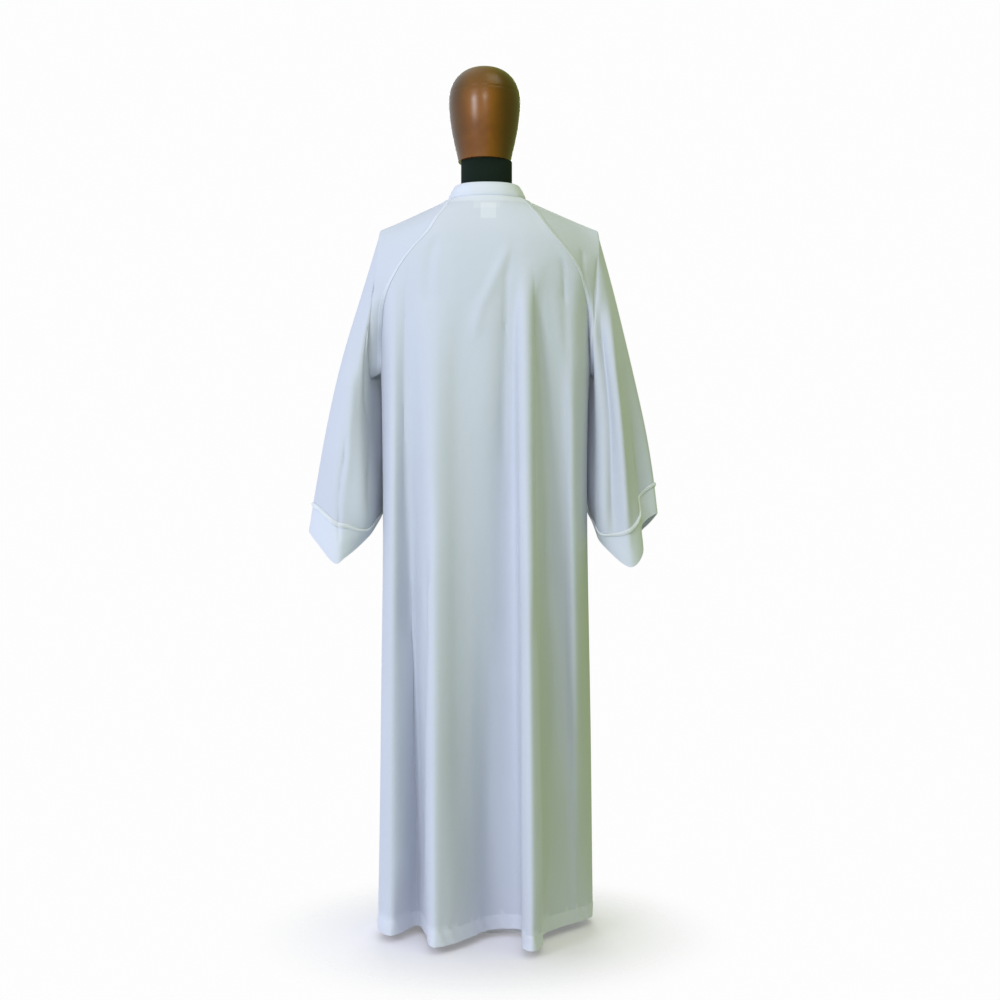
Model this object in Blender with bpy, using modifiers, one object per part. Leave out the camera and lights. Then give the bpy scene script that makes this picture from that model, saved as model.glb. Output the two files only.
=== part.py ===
"""Alb robe with raglan sleeves, worn by a limbless dress form on a stand.

Metres, +Z up. The robe's back faces -Y. The origin is on the floor, under the stand's pole.
Every cloth piece is a closed wall: its outer points come from a few smooth functions, and its
inner points lie one cloth thickness further in. Neighbours share their seam's points and normals.
"""
import math

import bmesh
import bpy
from mathutils import Vector

MM = 0.001

# Cloth walls
CLOTH = 1.6 * MM
HEM_CLOTH = 2.6 * MM
COLLAR_CLOTH = 2.4 * MM
CUFF_CLOTH = 2.0 * MM
SEAM_GAP = 0.3 * MM
SEAM_STRIP = 11 * MM
SEAM_STEP = 1.5 * MM
SEAM_RAISE = 0.8 * MM
STRIP_SHARE = 0.42
STEP_SHARE = 0.5
CLOTH_SHARP = 50
FORM_SHARP = 40

# Heights of the robe's main lines
NECK_LEVEL = 1516 * MM
UNDERARM_LEVEL = 1160 * MM
HEM_TOP_LEVEL = 46 * MM
HEM_LEVEL = 16 * MM
HEM_STEP = 1 * MM
FRONT_NECK_DIP = 20 * MM
NECK_DIP_ENDS = 1400 * MM

# Grid sizes
COLUMNS_PER_FOLD = 2
NECK_EDGE_COLUMNS = 2
NECK_ROW_LEVELS = (1516, 1505, 1487, 1467)
YOKE_ROWS = 11
SKIRT_ROWS = 12

# Plan of the body at each level, before the folds: how far it reaches to each side, in mm.
BODY_PLAN = (
    # level, left, right, back, front
    (16, -222, 210, 128, 126),
    (1160, -222, 210, 128, 126),
    (1300, -225, 217, 127, 127),
    (1350, -228, 228, 125, 122),
    (1400, -231, 235, 119, 112),
    (1444, -227, 233, 109, 98),
    (1469, -202, 205, 99, 88),
    (1494, -139, 140, 90, 80),
    (1516, -82, 78, 72, 66),
)
PLAN_ROUNDNESS = 2.3

# Where the raglan seam crosses the body's plan, as a share of its half width.
RAGLAN = (
    # level, share
    (1160, 1.0),
    (1250, 0.978),
    (1299, 0.942),
    (1320, 0.905),
    (1367, 0.785),
    (1408, 0.645),
    (1448, 0.505),
    (1469, 0.50),
    (1494, 0.60),
    (1516, 0.80),
)

# Fold lines of the skirt, from centre front round the left side and the back: the angle where
# each leaves the body's plan, its level there, its place at the hem and how far it bows out
# between the two. Angles in degrees from centre back, the rest in mm.
FOLDS = (
    # name, angle, start, hem x, hem y, bow
    ("centre front", -180, 1250, -3, 165, 0),
    ("front valley left", -163, 1300, -48, 120, 0),
    ("front crest left inner", -150, 1340, -84, 197, 0),
    ("front crest left outer", -137, 1340, -124, 172, 0),
    ("front side valley left", -122, 1300, -163, 88, 0),
    ("front side crest left", -106, 1200, -212, 98, 0),
    ("left side seam", -90, 1160, -216, 10, 0),
    ("left outline", -69, 1200, -224, -61, 0),
    ("first crest", -57, 1330, -193, -101, 0),
    ("first valley", -46, 1400, -144, -23, 6),
    ("second crest left", -26.5, 1300, -106, -185, 0),
    ("second crest right", -18, 1320, -79, -171, 0),
    ("long slope", -7, 1320, -31, -106, 0),
    ("wide valley left", 2, 1250, 9, -54, 0),
    ("wide valley right", 12.5, 1330, 66, -54, 6),
    ("third crest left", 17, 1380, 70, -190, 0),
    ("third crest", 20.5, 1385, 88, -213, 0),
    ("third crest right", 23.5, 1385, 107, -180, 0),
    ("dark wall", 28, 1385, 114, -91, 8),
    ("right wall", 43, 1380, 165, -20, 0),
    ("right ridge", 53, 1330, 187, 2, -26),
    ("right outline", 76, 1180, 221, 52, 0),
    ("right side seam", 90, 1160, 217, 92, 0),
    ("front side crest right", 107, 1200, 200, 140, 0),
    ("front side valley right", 122, 1300, 162, 92, 0),
    ("front crest right outer", 137, 1340, 128, 172, 0),
    ("front crest right inner", 150, 1340, 88, 198, 0),
    ("front valley right", 163, 1300, 42, 122, 0),
    ("centre front", 180, 1250, -3, 165, 0),
)

# Fold lines of each sleeve, round its tube: share of the way round from the overarm, then the
# point at the armhole fold, at the elbow, at the cuff's seam and at the cuff's edge, in mm.
LEFT_SLEEVE = (
    # name, share, armhole fold, elbow, cuff seam, cuff edge
    ("outer", 0.0, (-223, 0, 1456), (-307, 5, 1170), (-364, 5, 891), (-374, 5, 831)),
    ("slope", 0.10, (-225, -17, 1434), (-304, -24, 1158), (-345, -30, 880), (-352, -32, 806)),
    ("edge", 0.20, (-227, -34, 1392), (-290, -52, 1125), (-312, -64, 853), (-313, -68, 766)),
    ("ridge", 0.30, (-235, -46, 1330), (-272, -60, 1098), (-288, -67, 846), (-290, -64, 778)),
    ("inner", 0.42, (-247, -40, 1212), (-250, -40, 1062), (-246, -42, 836), (-252, -16, 812)),
    ("underarm", 0.50, (-243, -2, 1148), (-236, 6, 1040), (-232, 6, 856), (-240, 26, 830)),
    ("under", 0.58, (-229, 38, 1202), (-216, 60, 1048), (-220, 66, 880), (-227, 86, 862)),
    ("front", 0.70, (-242, 48, 1325), (-268, 74, 1095), (-285, 88, 878), (-292, 100, 806)),
    ("front slope", 0.86, (-228, 26, 1416), (-300, 48, 1145), (-340, 54, 886), (-346, 58, 820)),
)
RIGHT_SLEEVE = (
    # name, share, armhole fold, elbow, cuff seam, cuff edge
    ("outer", 0.0, (227, 0, 1455), (301, 5, 1170), (345, 5, 932), (353, 5, 868)),
    ("slope", 0.10, (229, -17, 1432), (290, -20, 1150), (314, -12, 906), (320, -12, 842)),
    ("edge", 0.20, (228, -35, 1390), (276, -46, 1120), (311, -46, 864), (319, -50, 786)),
    ("ridge", 0.30, (223, -47, 1326), (253, -62, 1096), (285, -68, 836), (290, -72, 758)),
    ("inner", 0.42, (218, -42, 1212), (226, -42, 1058), (233, -48, 828), (234, -28, 806)),
    ("underarm", 0.50, (221, -2, 1150), (219, 6, 1040), (222, 10, 852), (227, 26, 826)),
    ("under", 0.58, (217, 39, 1202), (207, 62, 1048), (212, 70, 880), (219, 88, 862)),
    ("front", 0.70, (229, 48, 1325), (254, 76, 1095), (276, 88, 878), (284, 100, 806)),
    ("front slope", 0.86, (230, 26, 1416), (292, 48, 1145), (326, 54, 908), (332, 58, 838)),
)
SLEEVE_RUN = (0.0, 0.128, 0.135, 0.149, 0.40, 0.68, 0.75)
FOLD_BEFORE = 0.95
FOLD_AFTER = 0.05
NECK_CORNER_SHARE = 0.07
ARMHOLE_ROWS = 4
SLEEVE_ROWS = (0.135, 0.149, 0.19, 0.24, 0.29, 0.34, 0.39, 0.45, 0.51, 0.57, 0.63, 0.68)
SLEEVE_STRIP_ROW = 1
UNLAPPED_COLUMNS = 6
CUFF_ROWS = (0.68, 0.687, 0.703, 0.72, 0.737, 0.75)

# Standing collar
COLLAR_RISE = 30 * MM
COLLAR_BULGE = 3 * MM
COLLAR_ROWS = (0.0, 0.5, 1.0)
COLLAR_PLAN = (-67, 64, 63, 60)

# Braid along the cuff's seam
BRAID_THICK = 1.2 * MM
BRAID_ROWS = (0, 1)

# Labels inside the back of the neck: columns either side of the middle, and rows
LABEL_THICK = 1.0 * MM
LABEL_COLUMNS = (10, 18)
LABEL_ROWS = (1, 2)
TAG_COLUMNS = (12, 15)
TAG_ROWS = (2, 3)

# Dress form
NECK_COLUMNS = 40
NECK_X = -3 * MM
HEAD_X = -7 * MM
NECK_RADIUS = 53 * MM
NECK_FOOT_LEVEL = 1500 * MM
NECK_TOP_LEVEL = 1597 * MM
HEAD_PROFILE = (
    # height above the neck's top, radius, in mm
    (0, 54.5), (14, 57.5), (40, 63.5), (70, 69.5), (98, 73), (122, 74.4),
    (146, 72), (166, 63.5), (181, 50), (190, 35), (195, 17), (197, 0),
)
HEAD_DEPTH = 1.14
HEAD_COLUMNS = 32
FORM_PLAN = (
    # level, half width, back, front, roundness
    (968, 168, 100, 98, 2.2),
    (990, 171, 102, 100, 2.2),
    (1060, 164, 98, 98, 2.2),
    (1130, 158, 95, 98, 2.2),
    (1220, 172, 102, 106, 2.2),
    (1300, 190, 106, 106, 2.1),
    (1360, 201, 98, 96, 2.0),
    (1400, 206, 84, 82, 1.9),
)
FORM_SHOULDER = (
    # share of the way up the shoulder line, inset, back, front, roundness
    (0.10, 18, 68, 60, 1.8),
    (0.24, 9, 57, 47, 1.6),
    (0.40, 3, 52, 42, 1.5),
    (0.54, 1, 53, 41, 1.5),
)
FORM_NECK_PLAN = (-56, 55, 54, 53)
FORM_COLUMNS = 36
FORM_CLEARANCE = 0.7 * MM
SHOULDER_ROWS = 7

# Stand
POLE_RADIUS = 14 * MM
POLE_COLUMNS = 24
FOOT_HEIGHT = 14 * MM
SKID_LEFT_X = -78 * MM
SKID_RIGHT_X = 90 * MM
SKID_WIDTH = 18 * MM
SKID_BACK_Y = -104 * MM
SKID_FRONT_Y = 145 * MM
CROSSBAR_WIDTH = 44 * MM


def ease(share):
    """Smooth step from 0 to 1."""
    share = min(max(share, 0.0), 1.0)
    return share * share * (3.0 - 2.0 * share)


def tangent(keys, values, i):
    """Slope of the smooth curve at its point i."""
    last = len(keys) - 1
    if i == 0:
        return (values[1] - values[0]) / (keys[1] - keys[0])
    if i == last:
        return (values[last] - values[last - 1]) / (keys[last] - keys[last - 1])
    before = keys[i] - keys[i - 1]
    after = keys[i + 1] - keys[i]
    slope_before = (values[i] - values[i - 1]) / before
    slope_after = (values[i + 1] - values[i]) / after
    return (slope_before * after + slope_after * before) / (before + after)


def smooth(keys, values, at):
    """Value at a place on the smooth curve that passes through the values at their rising keys."""
    i = 0
    while i < len(keys) - 2 and at > keys[i + 1]:
        i += 1
    step = keys[i + 1] - keys[i]
    u = (at - keys[i]) / step
    start = values[i] * (1 - 3 * u * u + 2 * u ** 3)
    end = values[i + 1] * (3 * u * u - 2 * u ** 3)
    leave = tangent(keys, values, i) * (step * (u - 2 * u * u + u ** 3))
    arrive = tangent(keys, values, i + 1) * (step * (u ** 3 - u * u))
    return start + end + leave + arrive


def straight(keys, values, at):
    """Value at a place on the straight runs between the values at their rising keys."""
    i = 0
    while i < len(keys) - 2 and at > keys[i + 1]:
        i += 1
    u = (at - keys[i]) / (keys[i + 1] - keys[i])
    return values[i] + (values[i + 1] - values[i]) * u


def column(table, index):
    """One column of a table."""
    return [row[index] for row in table]


def plan_at(level):
    """Left, right, back and front reach of the body's plan at a level, in metres."""
    keys = [key * MM for key in column(BODY_PLAN, 0)]
    return [smooth(keys, column(BODY_PLAN, i), level) * MM for i in range(1, 5)]


def bent(value, power):
    """A power that keeps the sign."""
    return math.copysign(abs(value) ** power, value)


def oval(plan, angle, roundness=PLAN_ROUNDNESS):
    """Point of a plan's rounded oval at an angle in degrees from centre back."""
    left, right, back, front = plan
    middle = (left + right) / 2
    half = (right - left) / 2
    power = 2.0 / roundness
    across = bent(math.sin(math.radians(angle)), power)
    along = bent(math.cos(math.radians(angle)), power)
    depth = back if along > 0 else front
    return middle + half * across, -depth * along


def neck_dip(angle, level):
    """How far the front of the neck dips below its level."""
    share = max(0.0, -math.cos(math.radians(angle)))
    fade = ease((level - NECK_DIP_ENDS) / (NECK_LEVEL - NECK_DIP_ENDS))
    return FRONT_NECK_DIP * share * fade


def fold_point(fold, level):
    """Where a fold line crosses a level."""
    angle, start, hem_x, hem_y, bow = fold[1:]
    x, y = oval(plan_at(level), angle)
    start_level = start * MM
    share = max(0.0, (start_level - level) / (start_level - HEM_LEVEL))
    x += (hem_x * MM - x) * share
    y += (hem_y * MM - y) * share + bow * MM * 4 * share * (1 - share)
    return Vector((x, y, level - neck_dip(angle, level)))


class BodyRing:
    """The body's closed outline at one level, through every fold line."""

    def __init__(self, level):
        points = [fold_point(fold, level) for fold in FOLDS]
        lengths = [math.sqrt((b - a).length) for a, b in zip(points, points[1:])]
        self.points = [points[-2]] + points + [points[1]]
        self.keys = [0.0]
        for length in [lengths[-1]] + lengths + [lengths[0]]:
            self.keys.append(self.keys[-1] + length)

    def at(self, angle):
        """Point on the outline at an angle in degrees from centre back."""
        angles = column(FOLDS, 1)
        place = straight(angles, list(range(1, len(angles) + 1)), angle)
        i = min(int(place), len(angles) - 1)
        key = self.keys[i] + (self.keys[i + 1] - self.keys[i]) * (place - i)
        return smooth(self.keys, self.points, key)


def panel_angle(angle, level):
    """Angle at a level of a column that reaches the underarm at an angle from centre.

    Above the underarm the columns keep their share of the width between the raglan seams.
    """
    if level <= UNDERARM_LEVEL:
        return angle
    reach = smooth([key * MM for key in column(RAGLAN, 0)], column(RAGLAN, 1), level)
    share = min(1.0, reach) ** (PLAN_ROUNDNESS / 2) * math.sin(math.radians(angle))
    return math.degrees(math.asin(share))


def fold_angles(first, last):
    """Angles of a panel's columns, so many to each space between two fold lines."""
    stops = [angle for angle in column(FOLDS, 1) if first <= angle <= last]
    angles = [stops[0]]
    for a, b in zip(stops, stops[1:]):
        angles += [a + (b - a) * i / COLUMNS_PER_FOLD for i in range(1, COLUMNS_PER_FOLD + 1)]
    return angles


def body_levels():
    """Levels of the body's rows, from the neck to the hem."""
    levels = [level * MM for level in NECK_ROW_LEVELS]
    top = levels[-1]
    rest = YOKE_ROWS - len(levels) + 1
    for i in range(1, rest + 1):
        levels.append(top + (UNDERARM_LEVEL - top) * i / rest)
    for i in range(1, SKIRT_ROWS + 1):
        levels.append(UNDERARM_LEVEL + (HEM_TOP_LEVEL - UNDERARM_LEVEL) * i / SKIRT_ROWS)
    levels += [HEM_TOP_LEVEL - HEM_STEP, HEM_LEVEL]
    return levels


def back_angles(level):
    """Angles of the back's columns at a level, from its left edge to its right one."""
    return [panel_angle(angle, level) for angle in fold_angles(-90, 90)]


def front_left_angles(level):
    """Angles of the left front's columns at a level, from the centre to its raglan seam."""
    return [panel_angle(angle + 180, level) - 180 for angle in fold_angles(-180, -90)]


def front_right_angles(level):
    """Angles of the right front's columns at a level, from its raglan seam to the centre."""
    return [panel_angle(angle - 180, level) + 180 for angle in fold_angles(90, 180)]


def body_grid(angles_at, levels):
    """Rows of body points, one for each level."""
    grid = []
    for level in levels:
        ring = BodyRing(level)
        grid.append([ring.at(angle) for angle in angles_at(level)])
    return grid


def armhole_loop(side, back, front):
    """A sleeve's first ring: over the neck's edge, down the back seam and up the front seam."""
    neck = BodyRing(NECK_LEVEL)
    corner = panel_angle(90, NECK_LEVEL)
    steps = range(NECK_EDGE_COLUMNS)
    reach = 90.0 - corner
    over = [neck.at(side * (90.0 - reach * i / NECK_EDGE_COLUMNS)) for i in steps]
    back_over = [neck.at(side * (180.0 - corner - reach * i / NECK_EDGE_COLUMNS)) for i in steps]
    down = [row[0 if side < 0 else -1] for row in back[:YOKE_ROWS + 1]]
    up = [row[-1 if side < 0 else 0] for row in front[:YOKE_ROWS + 1]]
    up.reverse()
    return over + down + up[1:-1] + back_over


def loop_shares(loop):
    """Share of the way round for each point of an armhole loop."""
    down = loop[NECK_EDGE_COLUMNS:NECK_EDGE_COLUMNS + YOKE_ROWS + 1]
    runs = [0.0]
    for a, b in zip(down, down[1:]):
        runs.append(runs[-1] + (b - a).length)
    seam = [NECK_CORNER_SHARE + (0.5 - NECK_CORNER_SHARE) * run / runs[-1] for run in runs]
    edge = [NECK_CORNER_SHARE * i / NECK_EDGE_COLUMNS for i in range(NECK_EDGE_COLUMNS)]
    first_half = edge + seam
    second_half = [1.0 - share for share in reversed(first_half[1:-1])]
    return first_half + second_half


def station_point(folds, station, share):
    """Point of a sleeve's ring at one station, a share of the way round."""
    shares = column(folds, 1)
    points = [Vector(fold[2 + station]) * MM for fold in folds]
    keys = [shares[-1] - 1.0] + shares + [1.0, 1.0 + shares[1]]
    values = [points[-1]] + points + [points[0], points[1]]
    return smooth(keys, values, share)


def sleeve_lines(folds, loop):
    """Lines that run down a sleeve, one from each point of its armhole loop."""
    lines = []
    for start, share in zip(loop, loop_shares(loop)):
        fold, elbow, seam, edge = [station_point(folds, station, share) for station in range(4)]
        lines.append([start, start.lerp(fold, FOLD_BEFORE), fold,
                      fold.lerp(elbow, FOLD_AFTER), elbow, seam, edge])
    return lines


def armhole_keys(line):
    """Places of a line's rows across the armhole band, with the lapped seam's strip first."""
    end = SLEEVE_RUN[1]
    width = (line[1] - line[0]).length
    strip = end * min(STRIP_SHARE, SEAM_STRIP / width)
    step = end * min(STEP_SHARE, (SEAM_STRIP + SEAM_STEP) / width)
    return [0.0, strip] + [step + (end - step) * i / ARMHOLE_ROWS for i in range(ARMHOLE_ROWS + 1)]


def sleeve_grid(lines):
    """Rings of a sleeve from its armhole to its cuff's seam."""
    runs = [[smooth(SLEEVE_RUN, line, key) for key in armhole_keys(line) + list(SLEEVE_ROWS)]
            for line in lines]
    return [list(ring) for ring in zip(*runs)]


def cuff_grid(lines):
    """Rings of a cuff from its seam to its edge."""
    return [[smooth(SLEEVE_RUN, line, key) for line in lines] for key in CUFF_ROWS]


def collar_grid(edge):
    """Rows of the standing collar, up from the points of the neck's edge."""
    top_plan = [value * MM for value in COLLAR_PLAN]
    rows = []
    for share in COLLAR_ROWS:
        row = []
        for angle, foot in edge:
            x, y = oval(top_plan, angle)
            top = Vector((x, y, foot.z + COLLAR_RISE))
            bulge = Vector((x, y, 0)).normalized() * (COLLAR_BULGE * 4 * share * (1 - share))
            row.append(foot.lerp(top, share) + bulge)
        rows.append(row)
    return rows


def neck_edge():
    """Angle and point of every neck point that the collar shares, round from centre front."""
    ring = BodyRing(NECK_LEVEL)
    corner = panel_angle(90, NECK_LEVEL)
    step = (90.0 - corner) / NECK_EDGE_COLUMNS
    over = [corner + step * i for i in range(1, 2 * NECK_EDGE_COLUMNS)]
    angles = front_left_angles(NECK_LEVEL)
    angles += [-angle for angle in reversed(over)]
    angles += back_angles(NECK_LEVEL) + over + front_right_angles(NECK_LEVEL)
    return [(angle, ring.at(angle)) for angle in angles]


def grid_normals(grid, closed):
    """Outward normal at each point of a grid, from its neighbours."""
    rows = len(grid)
    columns = len(grid[0])
    normals = []
    for r in range(rows):
        normals.append([])
        for c in range(columns):
            if closed:
                along = grid[r][(c + 1) % columns] - grid[r][c - 1]
            else:
                along = grid[r][min(c + 1, columns - 1)] - grid[r][max(c - 1, 0)]
            down = grid[min(r + 1, rows - 1)][c] - grid[max(r - 1, 0)][c]
            normals[r].append(down.cross(along).normalized())
    return normals


def point_key(point):
    """A point's name, the same for each piece that shares it."""
    return tuple(round(value * 1e5) for value in point)


def share_normals(pieces):
    """Give the pieces that meet at a point one common normal there."""
    sums = {}
    for piece in pieces:
        for points, normals in zip(piece["grid"], piece["normals"]):
            for point, normal in zip(points, normals):
                key = point_key(point)
                sums[key] = sums.get(key, Vector()) + normal
    for piece in pieces:
        piece["normals"] = [[sums[point_key(point)].normalized() for point in row]
                            for row in piece["grid"]]


def draw_back(points, a, b):
    """Move the points of line a towards line b by half a seam gap."""
    for i, (point, inner) in enumerate(zip(points[a], points[b])):
        points[a][i] = point + (inner - point).normalized() * (SEAM_GAP / 2)


def open_seams(grid, seams):
    """A copy of the grid, drawn back along the seams named top, bottom, first and last."""
    rows = [[point.copy() for point in row] for row in grid]
    if "top" in seams:
        draw_back(rows, 0, 1)
    if "bottom" in seams:
        draw_back(rows, -1, -2)
    lines = [list(line) for line in zip(*rows)]
    if "first" in seams:
        draw_back(lines, 0, 1)
    if "last" in seams:
        draw_back(lines, -1, -2)
    return [list(row) for row in zip(*lines)]


def cloth_piece(name, grid, material, seams, closed=False):
    """A cloth piece before its wall is made. Its wall runs from the points inwards."""
    return {"name": name, "grid": grid, "normals": grid_normals(grid, closed),
            "material": material, "seams": seams, "closed": closed}


def rim_face(mesh, outer_a, outer_b, inner_a, inner_b):
    """Two triangles across a wall's rim, split the same way for both sides of a seam."""
    if outer_a.co.z < outer_b.co.z:
        outer_a, outer_b = outer_b, outer_a
        inner_a, inner_b = inner_b, inner_a
    mesh.faces.new((outer_a, outer_b, inner_b))
    mesh.faces.new((outer_a, inner_b, inner_a))


def wall_object(piece, outer_at, inner_at, parts):
    """A closed wall between two offsets of a piece's grid along its normals."""
    grid = open_seams(piece["grid"], piece["seams"])
    normals = piece["normals"]
    closed = piece["closed"]
    rows = len(grid)
    columns = len(grid[0])
    mesh = bmesh.new()
    sheets = []
    for offset in (outer_at, inner_at):
        sheet = [[mesh.verts.new(grid[r][c] + normals[r][c] * offset(r, c))
                  for c in range(columns)] for r in range(rows)]
        sheets.append(sheet)
    outer, inner = sheets
    spans = columns if closed else columns - 1
    for r in range(rows - 1):
        for c in range(spans):
            d = (c + 1) % columns
            mesh.faces.new((outer[r][c], outer[r + 1][c], outer[r + 1][d]))
            mesh.faces.new((outer[r][c], outer[r + 1][d], outer[r][d]))
            mesh.faces.new((inner[r][c], inner[r + 1][d], inner[r + 1][c]))
            mesh.faces.new((inner[r][c], inner[r][d], inner[r + 1][d]))
    for c in range(spans):
        d = (c + 1) % columns
        rim_face(mesh, outer[0][c], outer[0][d], inner[0][c], inner[0][d])
        rim_face(mesh, outer[-1][c], outer[-1][d], inner[-1][c], inner[-1][d])
    if not closed:
        for r in range(rows - 1):
            rim_face(mesh, outer[r][0], outer[r + 1][0], inner[r][0], inner[r + 1][0])
            rim_face(mesh, outer[r][-1], outer[r + 1][-1], inner[r][-1], inner[r + 1][-1])
    bmesh.ops.recalc_face_normals(mesh, faces=mesh.faces)
    data = bpy.data.meshes.new(piece["name"])
    mesh.to_mesh(data)
    mesh.free()
    data.shade_smooth()
    data.set_sharp_from_angle(angle=math.radians(CLOTH_SHARP))
    return add_object(piece["name"], data, piece["material"], parts)


def add_object(name, data, material, parts):
    """Put a mesh in the parts' collection under its own material."""
    data.materials.clear()
    data.materials.append(material)
    item = bpy.data.objects.new(name, data)
    parts.objects.link(item)
    return item


def plain_material(name, color, roughness, metallic=0.0):
    """A material with one colour."""
    material = bpy.data.materials.new(name)
    material.use_nodes = True
    shader = material.node_tree.nodes["Principled BSDF"]
    shader.inputs["Base Color"].default_value = (*color, 1.0)
    shader.inputs["Roughness"].default_value = roughness
    shader.inputs["Metallic"].default_value = metallic
    return material


def outside(r, c):
    """The wall's outer side."""
    return 0.0


def inside(thickness):
    """The wall's inner side at one thickness."""
    return lambda r, c: -thickness


def body_inside(r, c):
    """Inner side of a body panel, thicker in the hem's double cloth."""
    hem_rows = YOKE_ROWS + SKIRT_ROWS + 1
    return -HEM_CLOTH if r >= hem_rows else -CLOTH


def sleeve_outside(r, c):
    """Outer side of a sleeve, raised along the lapped seam except near the underarm."""
    near_underarm = abs(c - NECK_EDGE_COLUMNS - YOKE_ROWS) < UNLAPPED_COLUMNS
    return SEAM_RAISE if r == SLEEVE_STRIP_ROW and not near_underarm else 0.0


def robe_pieces(cloth, band_cloth):
    """Every main cloth piece with its shared normals, by name."""
    levels = body_levels()
    back = body_grid(back_angles, levels)
    front_left = body_grid(front_left_angles, levels)
    front_right = body_grid(front_right_angles, levels)
    loops = {"left": armhole_loop(-1, back, front_left),
             "right": armhole_loop(1, back, front_right)}
    body_seams = ("top", "first", "last")
    pieces = [cloth_piece("back_panel", back, cloth, body_seams),
              cloth_piece("front_left", front_left, cloth, body_seams),
              cloth_piece("front_right", front_right, cloth, body_seams)]
    for side, folds in (("left", LEFT_SLEEVE), ("right", RIGHT_SLEEVE)):
        lines = sleeve_lines(folds, loops[side])
        sleeve = sleeve_grid(lines)
        cuff = cuff_grid(lines)
        if side == "right":
            sleeve = [list(reversed(row)) for row in sleeve]
            cuff = [list(reversed(row)) for row in cuff]
        pieces.append(cloth_piece("sleeve_" + side, sleeve, cloth, ("top", "bottom"), True))
        pieces.append(cloth_piece("cuff_" + side, cuff, band_cloth, ("top",), True))
    collar = list(reversed(collar_grid(neck_edge())))
    pieces.append(cloth_piece("collar", collar, band_cloth, ("bottom", "first", "last")))
    share_normals(pieces)
    return {piece["name"]: piece for piece in pieces}


def cut_piece(piece, name, material, rows, columns):
    """A smaller piece that follows part of another's grid."""
    first_row, last_row = rows
    first, last = columns
    grid = [row[first:last + 1] for row in piece["grid"][first_row:last_row + 1]]
    normals = [row[first:last + 1] for row in piece["normals"][first_row:last_row + 1]]
    return {"name": name, "grid": grid, "normals": normals, "material": material,
            "seams": (), "closed": piece["closed"]}


def build_robe(cloth, band_cloth, braid, label, parts):
    """All the robe's cloth."""
    pieces = robe_pieces(cloth, band_cloth)
    for name in ("back_panel", "front_left", "front_right"):
        wall_object(pieces[name], outside, body_inside, parts)
    for side in ("left", "right"):
        wall_object(pieces["sleeve_" + side], sleeve_outside, inside(CLOTH), parts)
        cuff = pieces["cuff_" + side]
        wall_object(cuff, outside, inside(CUFF_CLOTH), parts)
        everything = (0, len(cuff["grid"][0]) - 1)
        strip = cut_piece(cuff, "braid_" + side, braid, BRAID_ROWS, everything)
        wall_object(strip, lambda r, c: SEAM_GAP + BRAID_THICK, lambda r, c: SEAM_GAP, parts)
    wall_object(pieces["collar"], outside, inside(COLLAR_CLOTH), parts)
    under = CLOTH + SEAM_GAP
    for name, rows, columns in (("neck_label", LABEL_ROWS, LABEL_COLUMNS),
                                ("care_tag", TAG_ROWS, TAG_COLUMNS)):
        patch = cut_piece(pieces["back_panel"], name, label, rows, columns)
        patch["seams"] = ("top",)
        wall_object(patch, inside(under), inside(under + LABEL_THICK), parts)
    return pieces


def shoulder_line(piece, share_of_run):
    """Point under the cloth's overarm line, clear of its wall."""
    overarm = 0 if piece["name"] == "sleeve_left" else -1
    depth = CLOTH + FORM_CLEARANCE
    line = [piece["grid"][r][overarm] - piece["normals"][r][overarm] * depth
            for r in range(SHOULDER_ROWS)]
    return smooth([r / (SHOULDER_ROWS - 1) for r in range(SHOULDER_ROWS)], line, share_of_run)


def form_ring(plan, level, roundness):
    """Points of the form's outline at a level."""
    ring = []
    for i in range(FORM_COLUMNS):
        x, y = oval(plan, 360.0 * i / FORM_COLUMNS - 180.0, roundness)
        ring.append(Vector((x, y, level)))
    return ring


def build_torso(pieces, material, parts):
    """The form's body, which fills the robe's shoulders from below."""
    rings = []
    for level, half, back, front, roundness in FORM_PLAN:
        plan = (-half * MM, half * MM, back * MM, front * MM)
        rings.append(form_ring(plan, level * MM, roundness))
    for share, inset, back, front, roundness in FORM_SHOULDER:
        left = shoulder_line(pieces["sleeve_left"], 1.0 - share)
        right = shoulder_line(pieces["sleeve_right"], 1.0 - share)
        level = (left.z + right.z) / 2
        plan = (left.x + inset * MM, right.x - inset * MM, back * MM, front * MM)
        rings.append(form_ring(plan, level, roundness))
    neck_plan = [value * MM for value in FORM_NECK_PLAN]
    rings.append(form_ring(neck_plan, NECK_FOOT_LEVEL, 2.0))
    mesh = bmesh.new()
    sheet = [[mesh.verts.new(point) for point in ring] for ring in rings]
    for a, b in zip(sheet, sheet[1:]):
        for i in range(FORM_COLUMNS):
            j = (i + 1) % FORM_COLUMNS
            mesh.faces.new((a[i], a[j], b[j], b[i]))
    mesh.faces.new(list(reversed(sheet[0])))
    mesh.faces.new(sheet[-1])
    bmesh.ops.recalc_face_normals(mesh, faces=mesh.faces)
    data = bpy.data.meshes.new("torso")
    mesh.to_mesh(data)
    mesh.free()
    data.shade_smooth()
    data.set_sharp_from_angle(angle=math.radians(FORM_SHARP))
    add_object("torso", data, material, parts)


def build_neck(material, parts):
    """The form's neck, a plain cylinder between the torso and the head."""
    foot = NECK_FOOT_LEVEL + SEAM_GAP
    height = NECK_TOP_LEVEL - foot
    bpy.ops.mesh.primitive_cylinder_add(vertices=NECK_COLUMNS, radius=NECK_RADIUS, depth=height,
                                        location=(NECK_X, 0, foot + height / 2))
    neck = bpy.context.object
    neck.name = "neck"
    neck.data.shade_smooth()
    neck.data.set_sharp_from_angle(angle=math.radians(FORM_SHARP))
    claim_object(neck, material, parts)


def claim_object(item, material, parts):
    """Move an object into the parts' collection and give it its material."""
    item.data.materials.clear()
    item.data.materials.append(material)
    for collection in item.users_collection:
        collection.objects.unlink(item)
    parts.objects.link(item)


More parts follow.
